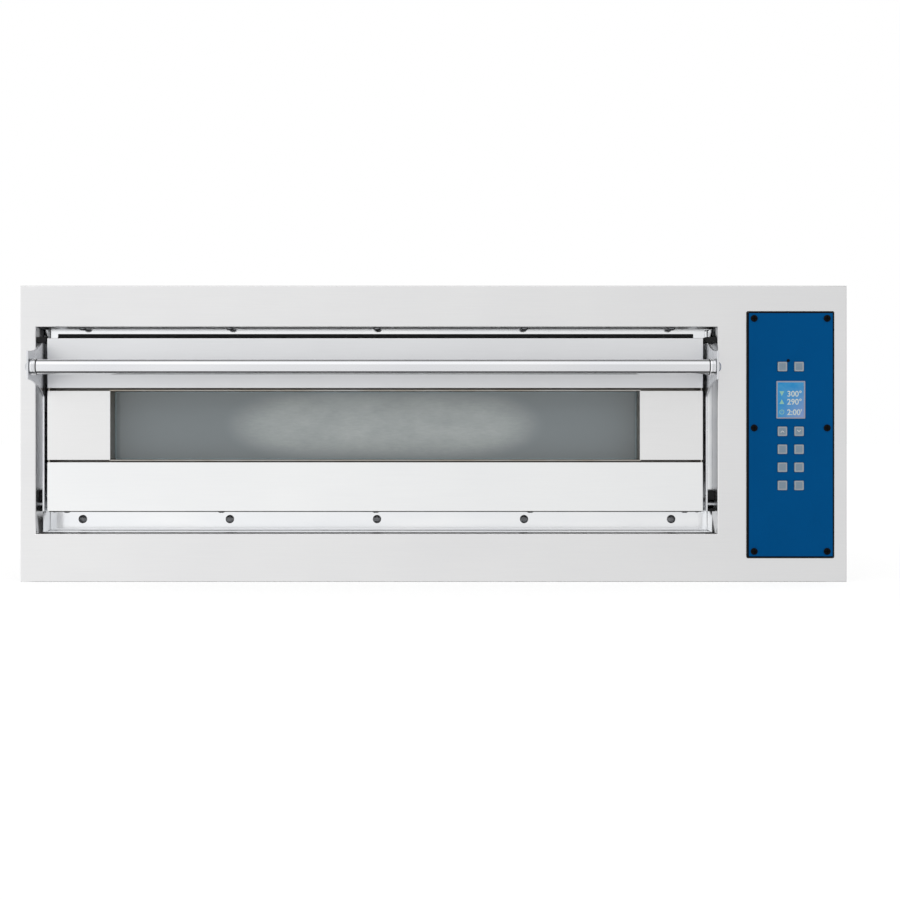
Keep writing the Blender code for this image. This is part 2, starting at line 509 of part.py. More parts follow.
def cheek_outline():
    """(Y, Z) outline of a cheek plate: a tall strip with a waisted ear that carries the handle."""
    def ear_half(part):
        return EAR_END + (EAR_BASE - EAR_END) * (1 - part) ** EAR_SWEEP

    steps = [step / 8 for step in range(9)]
    lower = [(FRONT + (EAR_TIP - FRONT) * part, EAR_Z - ear_half(part)) for part in steps]
    upper = [(y, min(2 * EAR_Z - z, CHEEK_TOP)) for y, z in reversed(lower)]
    return [(DOOR_BACK, DOOR_Z[0]), (FRONT, DOOR_Z[0]), *lower, *upper, (DOOR_BACK, CHEEK_TOP)]


def door_side(side, parent):
    """Cheek, hinge pin and handle bolt at one end of the door; side is -1 at the left, 1 at the right."""
    hand = "left" if side < 0 else "right"
    inner = DOOR_MIDDLE + side * CHEEK_OFFSET
    outer = inner + side * CHEEK
    cheek = extruded(f"door_cheek_{hand}", "polished_stainless", cheek_outline(), (inner, outer), parent)
    around = sorted((inner - side * 0.01, outer + side * 0.01))
    cut(cheek, (rod, "X", (0, PIVOT_Y, PIVOT_Z), around, PIN_RADIUS + GAP),
        (rod, "X", (0, HANDLE_Y, HANDLE_Z), around, PIN_RADIUS + GAP))

    head = inner - side * GAP
    neck = head - side * PIN_HEAD
    pin_end = RECESS_MIDDLE + side * PIN_REACH
    turned(f"hinge_pin_{hand}", "polished_stainless",
           [(neck, 0), (neck, 1.5 * PIN_RADIUS), (head, 1.5 * PIN_RADIUS), (head, PIN_RADIUS),
            (pin_end - side * PIN_CHAMFER, PIN_RADIUS), (pin_end, PIN_RADIUS - PIN_CHAMFER), (pin_end, 0)],
           (0, PIVOT_Y, PIVOT_Z), "X", 24, parent=parent)

    cap, tail = outer + side * GAP, outer + side * (GAP - BOLT_REACH)
    dome = [(cap + side * BOLT_RISE * math.cos(angle), BOLT_RADIUS * math.sin(angle))
            for angle in (math.radians(15 * step) for step in range(7))]
    turned(f"handle_bolt_{hand}", "polished_stainless",
           [*dome, (cap, PIN_RADIUS), (tail, PIN_RADIUS), (tail, 0)],
           (0, HANDLE_Y, HANDLE_Z), "X", 24, parent=parent)


def handle(parent):
    """Hollow handle tube between the cheeks."""
    ends = shrink((DOOR_MIDDLE - CHEEK_OFFSET, DOOR_MIDDLE + CHEEK_OFFSET), GAP)
    bore = HANDLE_RADIUS - HANDLE_WALL
    turned("handle_tube", "polished_stainless",
           [(ends[0], bore), (ends[1], bore), (ends[1], HANDLE_RADIUS), (ends[0], HANDLE_RADIUS)],
           (0, HANDLE_Y, HANDLE_Z), "X", closed=True, parent=parent)


def hinge_side(side):
    """Bearing block in the channel beside the door, and the balance spring behind the jamb."""
    hand = "left" if side < 0 else "right"
    jamb = RECESS_X[0] if side < 0 else RECESS_X[1]
    cheek_face = DOOR_MIDDLE + side * (CHEEK_OFFSET + CHEEK)
    xs = sorted((jamb - side * GAP, cheek_face + side * 0.0007))
    bearing = block(f"hinge_bearing_{hand}", "black_plastic", xs, BEARING_Y, BEARING_Z)
    reach = PIN_RADIUS + GAP
    cut(bearing, (rod, "X", (0, PIVOT_Y, PIVOT_Z), (xs[0] - 0.01, xs[1] + 0.01), reach))
    cut(bearing, (box, (xs[0] - 0.01, xs[1] + 0.01), (FRONT, PIVOT_Y), (PIVOT_Z - reach, PIVOT_Z + reach)))

    start, per_turn = jamb + side * 0.0035, 12
    points = [(start, PIVOT_Y + SPRING_RADIUS, PIVOT_Z + 0.020)]
    for step in range(SPRING_TURNS * per_turn + 1):
        angle = math.tau * step / per_turn
        points.append((start + side * SPRING_PITCH * step / per_turn,
                       PIVOT_Y + SPRING_RADIUS * math.cos(angle), PIVOT_Z - SPRING_RADIUS * math.sin(angle)))
    points.append((points[-1][0], PIVOT_Y + SPRING_RADIUS, PIVOT_Z + 0.020))
    wire(f"balance_spring_{hand}", "spring_steel", points, SPRING_WIRE, 1)


def main():
    for obj in list(bpy.data.objects):
        bpy.data.objects.remove(obj)
    make_materials()
    casing()
    chamber()
    controls()
    electronics_bay()
    hinge = pivot("door_hinge", (DOOR_MIDDLE, PIVOT_Y, PIVOT_Z))
    door(hinge)
    handle(hinge)
    for side in (-1, 1):
        door_side(side, hinge)
        hinge_side(side)


main()
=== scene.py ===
# %% [markdown]
# # A single deck oven in stainless steel
# A deck oven is a low, wide baking chamber with a stone floor. This one has a glazed door that drops down on
# two pins, a long tube for a handle, and a blue control panel beside it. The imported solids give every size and
# place, so this script only makes finishes and finer meshes, and hangs each one on the body it moves with.

# %% Load the frame
import json
import math

import bmesh
import bpy
from mathutils import Matrix, Vector


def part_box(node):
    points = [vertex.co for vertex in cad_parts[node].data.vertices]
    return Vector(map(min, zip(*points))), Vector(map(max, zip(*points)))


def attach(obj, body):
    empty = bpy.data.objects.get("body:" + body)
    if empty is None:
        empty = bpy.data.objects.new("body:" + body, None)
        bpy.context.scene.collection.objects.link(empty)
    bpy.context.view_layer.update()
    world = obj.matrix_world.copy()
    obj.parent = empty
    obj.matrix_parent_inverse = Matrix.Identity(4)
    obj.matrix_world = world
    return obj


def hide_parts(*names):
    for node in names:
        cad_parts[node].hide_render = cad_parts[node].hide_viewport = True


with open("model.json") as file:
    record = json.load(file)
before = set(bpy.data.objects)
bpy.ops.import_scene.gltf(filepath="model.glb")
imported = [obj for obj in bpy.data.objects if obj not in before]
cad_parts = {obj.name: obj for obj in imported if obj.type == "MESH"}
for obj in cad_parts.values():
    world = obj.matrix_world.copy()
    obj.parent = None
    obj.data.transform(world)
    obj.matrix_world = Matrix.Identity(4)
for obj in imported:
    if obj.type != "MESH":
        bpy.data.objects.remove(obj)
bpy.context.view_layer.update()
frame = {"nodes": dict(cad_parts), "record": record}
NODES = frame["nodes"]
MM = 0.001

# %% [markdown]
# ## Camera
# The oven is seen square on from the middle of its front, about two and a half metres away, which is why the
# jambs and the window tunnel show a little of their depth. The lens is moved sideways with a small shift, so
# that upright edges stay upright.

# %% Camera
CAMERA_AT = (0.0, -2.95, 0.2155)
FOCAL_MM, SENSOR_MM = 68.9, 36.0
SHIFT = 0.01833
camera_data = bpy.data.cameras.new("camera")
camera_data.lens = FOCAL_MM
camera_data.sensor_width = SENSOR_MM
camera_data.shift_x = SHIFT
camera_data.shift_y = -SHIFT
camera_data.dof.use_dof = False
camera = bpy.data.objects.new("camera", camera_data)
camera.location = CAMERA_AT
camera.rotation_euler = (math.radians(90), 0, 0)
bpy.context.scene.collection.objects.link(camera)
bpy.context.scene.camera = camera
bpy.context.scene.view_settings.view_transform = "Standard"

# %% [markdown]
# ## Helpers for materials
# Colours are written as sRGB hex, as in any paint program, and one function turns them linear, which is what
# shaders need. One function adds a node with its settings and links. Pattern scales come from real sizes in
# millimetres, read on Object coordinates in metres.

# %% Colour, node and scale helpers
def linear(hex_colour):
    """An sRGB hex colour as a linear RGBA value."""
    values = [int(hex_colour[place:place + 2], 16) / 255 for place in (0, 2, 4)]
    return (*[v / 12.92 if v <= 0.04045 else ((v + 0.055) / 1.055) ** 2.4 for v in values], 1.0)


def fill(tree, node, inputs):
    """Fill a node's sockets: an output is linked, anything else is set as a value."""
    for key, value in dict(inputs).items():
        if isinstance(value, bpy.types.NodeSocket):
            tree.links.new(value, node.inputs[key])
        else:
            node.inputs[key].default_value = value
    return node


def add(tree, kind, inputs=(), **settings):
    """Add a node, set its properties and fill its sockets."""
    made = tree.nodes.new(kind)
    for name, value in settings.items():
        setattr(made, name, value)
    return fill(tree, made, inputs)


def maths(tree, operation, *values):
    """The result of a Math node on some sockets or numbers."""
    return add(tree, "ShaderNodeMath", dict(enumerate(values)), operation=operation).outputs[0]


def scale_of(tree, place, sizes_mm):
    """Coordinates in which a pattern repeats about every sizes_mm along X, Y and Z."""
    scale = [1.0 / (size * MM) for size in sizes_mm]
    return add(tree, "ShaderNodeMapping", {"Vector": place, "Scale": scale}).outputs["Vector"]


def start_material(name, hex_colour, metallic, roughness, specular=0.5, extra=()):
    """A Principled material with its plain values, its tree, its shader and its Object coordinates."""
    material = bpy.data.materials.new(name)
    material.use_nodes = True
    tree = material.node_tree
    shader = fill(tree, tree.nodes["Principled BSDF"], {
        "Base Color": linear(hex_colour), "Metallic": metallic, "Roughness": roughness,
        "Specular IOR Level": specular, **dict(extra)})
    return material, tree, shader, add(tree, "ShaderNodeTexCoord").outputs["Object"]


def noise(tree, place, sizes_mm, detail=3.0, roughness=0.55):
    """Cloudy pattern from 0 to 1, about sizes_mm across along X, Y and Z."""
    return add(tree, "ShaderNodeTexNoise", {"Vector": scale_of(tree, place, sizes_mm), "Scale": 1.0,
                                            "Detail": detail, "Roughness": roughness}).outputs["Fac"]


def grains(tree, place, size_mm, channel):
    """A random tone for each grain of a pattern of cells, taken from one colour channel."""
    cells = add(tree, "ShaderNodeTexVoronoi", {"Vector": scale_of(tree, place, [size_mm] * 3), "Scale": 1.0})
    return add(tree, "ShaderNodeSeparateColor", {"Color": cells.outputs["Color"]}).outputs[channel]


def spread(tree, value, low, high, start=0.25, end=0.75, kind="LINEAR"):
    """A value stretched from start..end to low..high."""
    return add(tree, "ShaderNodeMapRange", {"Value": value, "From Min": start, "From Max": end, "To Min": low,
                                            "To Max": high}, interpolation_type=kind).outputs["Result"]


def blend(tree, amount, first, second):
    """Mix two colours, each a hex string or a socket, by a pattern."""
    colours = [linear(c) if isinstance(c, str) else c for c in (first, second)]
    return add(tree, "ShaderNodeMix", {0: amount, 6: colours[0], 7: colours[1]}, data_type="RGBA").outputs[2]


def bump(tree, shader, height, depth_mm, strength=1.0):
    """Raise a pattern by a depth in millimetres."""
    raised = add(tree, "ShaderNodeBump", {"Height": height, "Distance": depth_mm * MM, "Strength": strength})
    tree.links.new(raised.outputs["Normal"], shader.inputs["Normal"])


print("white is", tuple(round(v, 3) for v in linear("ffffff")))

# %% [markdown]
# ## Satin stainless sheet
# The casing is 18/8 stainless sheet, ground with a fine belt. Grinding leaves long, shallow scratches in one
# direction, so the surface is a metal with soft reflections and a faint grain. Real grit lines are about
# 0.1 mm apart, too fine to show from here, so the grain is drawn at 1.5 mm with little contrast. A second,
# broad pattern gives the slight unevenness that every sheet has.

# %% Satin stainless
def satin_steel(name, light, dark, roughness, streak_mm):
    """Ground sheet; streak_mm is the pattern's size along X, Y and Z, longest along the grain."""
    material, tree, shader, place = start_material(name, light, 1.0, roughness)
    grain = noise(tree, place, streak_mm, 4.0, 0.65)
    patches = noise(tree, place, (140, 140, 110), 2.0)
    tone = maths(tree, "ADD", spread(tree, grain, 0.0, 0.45), spread(tree, patches, 0.0, 0.55))
    fill(tree, shader, {"Base Color": blend(tree, tone, light, dark),
                        "Roughness": spread(tree, grain, roughness - 0.03, roughness + 0.05)})
    bump(tree, shader, grain, 0.012, 0.35)
    return material


ALONG_X, ALONG_Y = (90, 1.5, 1.5), (1.5, 90, 1.5)
fascia_steel = satin_steel("satin_stainless_fascia", "E8E8E8", "E2E2E3", 0.34, ALONG_X)
casing_steel = satin_steel("satin_stainless_casing", "DDDDDB", "D2D2D0", 0.36, ALONG_X)
side_steel = satin_steel("satin_stainless_side", "DDDDDB", "D2D2D0", 0.36, ALONG_Y)
# The kick plate's sheet is painted lighter than the fascia: painted light of the white floor below it.
lit_door_steel = satin_steel("satin_stainless_door_painted_light", "F2F3F3", "ECEDEE", 0.32, ALONG_X)
infill_steel = satin_steel("satin_stainless_infill", "EAEAEA", "E5E5E5", 0.32, ALONG_X)
# The band's sheet is painted darker than the fascia: painted shade of the handle in front of it.
shaded_band_steel = satin_steel("satin_stainless_band_painted_shade", "E3E4E6", "DCDDDF", 0.34, ALONG_X)
print("grain drawn at", min(ALONG_X), "mm")

# %% [markdown]
# ## Polished stainless
# The mouth frame and the handle are buffed to a mirror, the cheeks and pins less so. A buffed sheet is never
# quite flat: it has long, low waves, which bend its reflections. A cold tint separates it from the satin.

# %% Polished stainless
def mirror_steel(name, light, dark, roughness, wave_mm, wave_depth):
    """Buffed stainless with long waves in its reflections and a trace of polishing haze."""
    material, tree, shader, place = start_material(name, light, 1.0, roughness)
    waves = noise(tree, place, wave_mm, 1.0)
    haze = noise(tree, place, (60, 25, 25), 4.0)
    fill(tree, shader, {"Base Color": blend(tree, spread(tree, waves, 0.0, 1.0), light, dark),
                        "Roughness": spread(tree, haze, roughness, roughness + 0.06)})
    bump(tree, shader, waves, wave_depth, 0.5)
    return material


mirror = mirror_steel("polished_stainless_frame", "F1F2F3", "E9EBEE", 0.07, (160, 40, 30), 0.03)
cheek_mirror = mirror_steel("polished_stainless_cheek", "E0E1E4", "D0D2D6", 0.24, (30, 40, 30), 0.05)
tube_steel = mirror_steel("polished_stainless_tube", "E2E3E5", "DADBDE", 0.08, (220, 60, 60), 0.02)
pin_steel = mirror_steel("polished_stainless_pins", "C4C6C9", "AEB0B4", 0.20, (12, 12, 12), 0.02)
screw_steel = mirror_steel("plain_steel_screws", "96979A", "808184", 0.38, (6, 6, 6), 0.02)
plated_brass = mirror_steel("nickel_plated_brass", "CBC7BC", "B8B3A6", 0.24, (8, 8, 8), 0.02)
print("metals so far:", len(bpy.data.materials))

# %% [markdown]
# ## Heat-darkened and plain steels
# Steel near the chamber takes on straw and brown tints as its oxide grows. The window tunnel and the liner
# have that look. The pans and brackets that nobody sees are galvanised, with the crystal spangle of zinc.

# %% Dark and galvanised steels
def tinted_steel(name, cool, warm, roughness):
    """Steel with an uneven oxide film."""
    material, tree, shader, place = start_material(name, cool, 1.0, roughness)
    film = noise(tree, place, (70, 90, 50), 5.0, 0.6)
    fine = noise(tree, place, (6, 1.2, 1.2), 3.0)
    fill(tree, shader, {"Base Color": blend(tree, spread(tree, film, 0.0, 1.0, 0.35, 0.65), cool, warm),
                        "Roughness": spread(tree, fine, roughness - 0.06, roughness + 0.10)})
    bump(tree, shader, fine, 0.02, 0.4)
    return material


def spangled_zinc(name):
    """Hot-dip zinc: flat crystals a few millimetres across, each a little lighter or darker."""
    material, tree, shader, place = start_material(name, "B9BDC0", 1.0, 0.42)
    tone = grains(tree, place, 9, "Red")
    fill(tree, shader, {"Base Color": blend(tree, tone, "C6CACD", "A3A8AC"),
                        "Roughness": spread(tree, tone, 0.34, 0.52, 0.0, 1.0)})
    return material


tunnel_steel = tinted_steel("oxidised_steel_tunnel", "B6B4B1", "A69D92", 0.38)
liner_steel = tinted_steel("oxidised_steel_liner", "8C8A86", "86765F", 0.40)
sheath_steel = tinted_steel("annealed_heater_sheath", "5B5753", "4A423A", 0.48)
spring_wire = tinted_steel("oiled_spring_wire", "5E6064", "4C4B4A", 0.28)
zinc = spangled_zinc("spangled_zinc_sheet")
print("metals so far:", len(bpy.data.materials))

# %% [markdown]
# ## Heat-reflecting glass
# The pane is toughened soda-lime glass with a metal-oxide coating that throws heat back into the chamber. From
# outside it looks grey-green, and it is drawn opaque. Baking vapours leave a soft, mottled film in the middle,
# and the film is painted paler than the clean ends: painted light of the lamp behind the pane.

# %% Coated glass
def coated_glass(name, centre, half_width, half_height):
    """Opaque coated glass with a mottled film round centre, painted paler as if lit from behind, fading out at
    half_width and half_height.
    """
    clean, lamp_lit_film = "80888B", "B6BCBB"
    material, tree, shader, place = start_material(name, clean, 0.0, 0.10, extra={"IOR": 1.5})
    offset = add(tree, "ShaderNodeVectorMath", {0: place, 1: centre}, operation="SUBTRACT").outputs[0]
    parts = add(tree, "ShaderNodeSeparateXYZ", {0: offset}).outputs
    along = maths(tree, "POWER", maths(tree, "DIVIDE", parts["X"], half_width), 4.0)
    across = maths(tree, "POWER", maths(tree, "DIVIDE", parts["Z"], half_height), 2.0)
    inside = spread(tree, maths(tree, "ADD", along, across), 1.0, 0.0, 0.0, 1.1, "SMOOTHSTEP")
    blotches = spread(tree, noise(tree, place, (55, 55, 30), 5.0, 0.6), 0.55, 1.0)
    speckle = spread(tree, noise(tree, place, (13, 2, 2.2), 3.0, 0.7), 0.78, 1.12)
    # The film's paler colour is painted light of the lamp behind the pane.
    haze = maths(tree, "MULTIPLY", inside, maths(tree, "MULTIPLY", blotches, speckle))
    fill(tree, shader, {"Base Color": blend(tree, haze, clean, lamp_lit_film),
                        "Roughness": spread(tree, haze, 0.06, 0.22, 0.0, 1.0)})
    return material


pane_low, pane_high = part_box("door_outer_glass")
HAZE_OFFSET = Vector((0.012, 0, 0.001))
HAZE_HALF_WIDTH, HAZE_HALF_HEIGHT = 0.235, 0.056
pane_glass = coated_glass("coated_toughened_glass", (pane_low + pane_high) / 2 + HAZE_OFFSET,
                          HAZE_HALF_WIDTH, HAZE_HALF_HEIGHT)
print("pane", [round(v * 1000, 1) for v in (pane_high - pane_low)], "mm")

# %% [markdown]
# ## Coatings, rubber and plastics
# The control panel is a metal plate with a baked, nearly matt blue coating, which has the faint pebble of
# sprayed paint. Keys, bearing blocks, the fan and the relay are moulded, and moulded surfaces show the
# eroded texture of their tool. Seals are silicone rubber with a bloom of talc.

# %% Blue coating, rubber and plastics
def sprayed_coating(name, colour, second, roughness, specular, low, high, rim):
    """Baked paint with orange peel about 2 mm across, and a dark rim of painted shade round a plate's edge."""
    material, tree, shader, place = start_material(name, colour, 0.0, roughness, specular)
    peel = noise(tree, place, (2, 2, 2), 2.0)
    drift = noise(tree, place, (90, 90, 120), 2.0)
    parts = add(tree, "ShaderNodeSeparateXYZ", {0: place}).outputs
    edge_shade_mask = []
    for axis in (0, 2):
        centre, reach = (low[axis] + high[axis]) / 2, (high[axis] - low[axis]) / 2 - rim
        distance = maths(tree, "ABSOLUTE", maths(tree, "SUBTRACT", parts[axis], centre))
        edge_shade_mask.append(maths(tree, "GREATER_THAN", distance, reach))
    coat = blend(tree, spread(tree, drift, 0.0, 1.0), colour, second)
    # The near-black rim is painted shade along the plate's edge.
    fill(tree, shader, {"Base Color": blend(tree, maths(tree, "MAXIMUM", *edge_shade_mask), coat, "0A0B0E"),
                        "Roughness": spread(tree, peel, roughness - 0.04, roughness + 0.04)})
    bump(tree, shader, peel, 0.02, 0.3)
    return material


def moulded(name, colour, second, roughness, grain_mm, specular):
    """Moulded plastic or rubber with a fine eroded texture."""
    material, tree, shader, place = start_material(name, colour, 0.0, roughness, specular)
    grain = noise(tree, place, [grain_mm] * 3, 3.0)
    dust = noise(tree, place, (18, 18, 18), 4.0)
    fill(tree, shader, {"Base Color": blend(tree, spread(tree, dust, 0.0, 0.6), colour, second),
                        "Roughness": spread(tree, grain, roughness - 0.05, roughness + 0.08)})
    bump(tree, shader, grain, 0.02, 0.4)
    return material


# The last argument is the width of the painted edge shade.
blue_coating = sprayed_coating("baked_blue_coating", "004D85", "004A80", 0.45, 0.02,
                               *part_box("control_panel_plate"), 1.1 * MM)
black_rubber = moulded("black_silicone_rubber", "141415", "232324", 0.62, 1.0, 0.2)
black_nylon = moulded("glass_filled_nylon", "121214", "1C1C1E", 0.50, 0.8, 0.25)
key_plastic = moulded("grey_key_plastic", "7E8E9B", "778795", 0.45, 0.6, 0.2)
rim_print = moulded("pale_key_print", "999EA4", "A1A5A9", 0.50, 0.6, 0.2)
icon_print = moulded("white_key_print", "C4C8C6", "CFD2CF", 0.50, 0.6, 0.2)
bezel_plastic = moulded("lavender_grey_bezel", "8C93A8", "979AAC", 0.35, 0.7, 0.3)
board_mask = moulded("green_solder_mask", "0E4A2C", "0A3A22", 0.35, 1.5, 0.4)
black_oxide = moulded("black_oxide", "060607", "0A0A0B", 0.60, 2.0, 0.08)
# The bead's pale grey is a painted highlight of the pane's edge.
bead_silicone_painted_highlight = moulded("glazing_silicone_painted_highlight", "8FA0A6", "7F9096", 0.30, 1.2, 0.4)
print("finishes so far:", len(bpy.data.materials))

# %% [markdown]
# ## Stone and wool
# Deck stones are cast from refractory cement with light and dark aggregate, and the floor browns with use.
# The insulation is a slab of mineral wool, a mat of fibres that take the light softly.

# %% Stone and mineral wool
def cast_stone(name):
    """Refractory slab with aggregate grains, pores and scorching."""
    material, tree, shader, place = start_material(name, "C3B59C", 0.0, 0.88)
    body = blend(tree, grains(tree, place, 4, "Green"), "CDBFA6", "AB9C84")
    scorch = spread(tree, noise(tree, place, (120, 120, 40), 5.0, 0.6), 0.0, 0.7, 0.45, 0.75)
    fill(tree, shader, {"Base Color": blend(tree, scorch, body, "7E6A50")})
    bump(tree, shader, noise(tree, place, (1.5, 1.5, 1.5), 4.0), 0.25, 0.6)
    return material


def wool_mat(name):
    """Mineral wool: tangled fibres, matt and soft."""
    material, tree, shader, place = start_material(name, "C2A871", 0.0, 0.95)
    fibres = noise(tree, place, (12, 1.2, 1.2), 6.0, 0.7)
    fill(tree, shader, {"Base Color": blend(tree, spread(tree, fibres, 0.0, 1.0), "CDB67F", "9C8450")})
    bump(tree, shader, fibres, 0.8, 0.8)
    return material


stone = cast_stone("cast_refractory_stone")
wool = wool_mat("mineral_wool_mat")
print("finishes in all:", len(bpy.data.materials))

# %% [markdown]
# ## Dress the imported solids
# The record gives each node a material slot, so one table from slot to finish dresses them all. Nodes that get
# a finer mesh later are hidden then, and the rest keep these finishes.

# %% Finishes for every node
FINISH_OF_SLOT = {
    "brushed_stainless": casing_steel, "polished_stainless": mirror, "dark_steel": tunnel_steel,
    "zinc_steel": zinc, "spring_steel": spring_wire, "mineral_wool": wool, "refractory_stone": stone,
    "heater_sheath": sheath_steel, "coated_glass": pane_glass, "black_rubber": black_rubber,
    "blue_enamel": blue_coating, "grey_key": key_plastic, "display_bezel": bezel_plastic,
    "black_plastic": black_nylon, "green_board": board_mask, "nickel_brass": plated_brass,
}
SPECIAL_FINISH = {"chamber_liner": liner_steel, "left_side_panel": side_steel, "right_side_panel": side_steel,
                  "hinge_pin_left": pin_steel, "hinge_pin_right": pin_steel, "steam_outlet": casing_steel}
SLOT_OF_NODE = {row["node"]: row["material_slot"] for row in frame["record"]["subparts"]}
for node_name, node_object in NODES.items():
    finish = SPECIAL_FINISH.get(node_name, FINISH_OF_SLOT[SLOT_OF_NODE[node_name]])
    node_object.data.materials.clear()
    node_object.data.materials.append(finish)
print("dressed", len(NODES), "nodes")

# %% [markdown]
# ## Helpers for pieces
# Every finished piece is a mesh whose object sits at the origin. `settle` links a mesh, gives it its finish,
# hangs it on its body and says which nodes it stands for, and `stand_in` does so for one node. `softened`
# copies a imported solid, welds its loose triangles back into faces and rounds its edges, because a real folded
# or moulded edge is never sharp.

# %% Piece helpers
NEAR = 1e-6


def settle(name, mesh, materials, body, nodes=()):
    """Link a finished mesh as a piece that rides on a body and stands for some nodes."""
    mesh.name = name
    if len(mesh.materials) != len(materials):
        for material in materials:
            mesh.materials.append(material)
    obj = bpy.data.objects.new(name, mesh)
    bpy.context.scene.collection.objects.link(obj)
    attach(obj, body)
    if nodes:
        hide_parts(*nodes)
    return obj


def stand_in(name, mesh, materials, node):
    """A piece that takes a node's place, with that node's body."""
    body = next(body for body, members in frame["record"]["behaviour"]["bodies"].items() if node in members)
    return settle(name, mesh, materials, body, [node])


def mesh_from(build, smooth_angle=None):
    """Run a function that fills a bmesh, and return the mesh with its faces pointing out."""
    data = bmesh.new()
    build(data)
    bmesh.ops.recalc_face_normals(data, faces=data.faces)
    mesh = bpy.data.meshes.new("piece")
    data.to_mesh(mesh)
    data.free()
    if smooth_angle:
        mesh.shade_smooth()
        mesh.set_sharp_from_angle(angle=math.radians(smooth_angle))
    return mesh


def round_edges(obj, radius):
    """Round every clear edge, with flat faces kept flat."""
    obj.data.shade_smooth()
    rounding = obj.modifiers.new("rounding", "BEVEL")
    rounding.width = radius
    rounding.segments = 3
    rounding.limit_method = "ANGLE"
    rounding.angle_limit = math.radians(35)
    rounding.harden_normals = True


def softened(node, piece_name, material, radius, corner=0.0):
    """A node's own shape in its place, with its flat faces joined, and its edges and corners rounded."""
    data = bmesh.new()
    data.from_mesh(NODES[node].data)
    bmesh.ops.remove_doubles(data, verts=data.verts, dist=NEAR)
    bmesh.ops.dissolve_limit(data, angle_limit=math.radians(0.5), verts=data.verts, edges=data.edges)
    low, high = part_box(node)

    def at_corner(point):
        return all(min(abs(point[a] - low[a]), abs(point[a] - high[a])) < 10 * NEAR for a in (0, 2))

    if corner:
        edges = [edge for edge in data.edges if all(at_corner(vertex.co) for vertex in edge.verts)
                 and abs(edge.verts[0].co.y - edge.verts[1].co.y) > NEAR]
        bmesh.ops.bevel(data, geom=edges, offset=corner, segments=5, profile=0.5, affect="EDGES")
    mesh = bpy.data.meshes.new(node)
    data.to_mesh(mesh)
    data.free()
    round_edges(stand_in(piece_name, mesh, [material], node), radius)


softened("control_gasket", "panel_gasket", black_rubber, 0.3 * MM, 2.6 * MM)
softened("control_panel_plate", "control_plate", blue_coating, 0.35 * MM, 2.0 * MM)
for node_name, piece_name, material, radius in (
        ("top_cover", "top_lid", casing_steel, 0.5 * MM),
        ("base_pan", "base_tray", zinc, 0.5 * MM),
        ("hinge_bearing_left", "bearing_block_left", black_nylon, 0.8 * MM),
        ("hinge_bearing_right", "bearing_block_right", black_nylon, 0.8 * MM),
        ("relay_block", "relay_housing", black_nylon, 2.0 * MM),
        ("baking_stone_left", "deck_stone_left", stone, 1.5 * MM),
        ("baking_stone_right", "deck_stone_right", stone, 1.5 * MM)):
    softened(node_name, piece_name, material, radius)
print("softened pieces made")

# %% [markdown]
# ## Folded sheet
# The fascia and the door's front plates are laser-cut from sheet and folded on a press brake, so their edges
# are bends with a real radius, not corners. The way to model that is the way they are made: a flat face is
# laid out on a grid, its free edges are folded back, the folds are rounded, and only then does the sheet get
# its thickness, inwards.

# %% Folding a sheet
SHEET = 1.5 * MM
FOLD, MOUTH_FOLD = 1.8 * MM, 0.8 * MM


def move_new(data, swept, offset):
    """Move the points that an extrusion has just made, and return them."""
    moved = [item for item in swept["geom"] if isinstance(item, bmesh.types.BMVert)]
    bmesh.ops.translate(data, verts=moved, vec=offset)
    return moved


def folded_sheet(name, spans, y, folds, material, node, bend, holes=()):
    """Fold a flat front at depth y; folds is a list of (where, depth): which edges, and how far back."""
    (x_low, x_high), (z_low, z_high) = spans
    xs = sorted({x_low, x_high, *[x for hole in holes for x in hole[0]]})
    zs = sorted({z_low, z_high, *[z for hole in holes for z in hole[1]]})

    def in_hole(x, z):
        return any(hole[0][0] <= x <= hole[0][1] and hole[1][0] <= z <= hole[1][1] for hole in holes)

    def build(data):
        grid = {(x, z): data.verts.new((x, y, z)) for x in xs for z in zs}
        for x0, x1 in zip(xs, xs[1:]):
            for z0, z1 in zip(zs, zs[1:]):
                if not in_hole((x0 + x1) / 2, (z0 + z1) / 2):
                    data.faces.new([grid[x0, z0], grid[x1, z0], grid[x1, z1], grid[x0, z1]])
        fold_lines = []
        for where, depth in folds:
            edges = [edge for edge in data.edges if len(edge.link_faces) == 1 and where(edge)]
            move_new(data, bmesh.ops.extrude_edge_only(data, edges=edges), (0, depth, 0))
            fold_lines += [tuple(edge.verts) for edge in edges]
        bmesh.ops.bevel(data, geom=[data.edges.get(pair) for pair in fold_lines], offset=bend,
                        offset_type="OFFSET", segments=5, profile=0.5, affect="EDGES", clamp_overlap=True)

    mesh = mesh_from(build, 50)
    if max(mesh.polygons, key=lambda face: face.area).normal.y > 0:
        mesh.flip_normals()
    obj = stand_in(name, mesh, [material], node)
    wall = obj.modifiers.new("sheet", "SOLIDIFY")
    wall.thickness = SHEET
    wall.offset = -1.0
    wall.use_even_offset = True
    flatten = obj.modifiers.new("flat faces", "WEIGHTED_NORMAL")
    flatten.weight = 100
    flatten.keep_sharp = True


def on_front(edge, y):
    """Whether an edge still lies in the flat front."""
    return all(abs(vertex.co.y - y) < NEAR for vertex in edge.verts)


def side_test(y, axis, value):
    """A test for the edges of the flat front that lie along one side."""
    return lambda edge: on_front(edge, y) and all(abs(v.co[axis] - value) < NEAR for v in edge.verts)


def hole_test(y, *holes):
    """A test for the edges of the flat front that bound any of some holes."""
    def test(edge):
        middle, near = (edge.verts[0].co + edge.verts[1].co) / 2, 10 * NEAR
        return on_front(edge, y) and any(
            x0 - near <= middle.x <= x1 + near and z0 - near <= middle.z <= z1 + near
            for (x0, x1), (z0, z1) in holes)
    return test


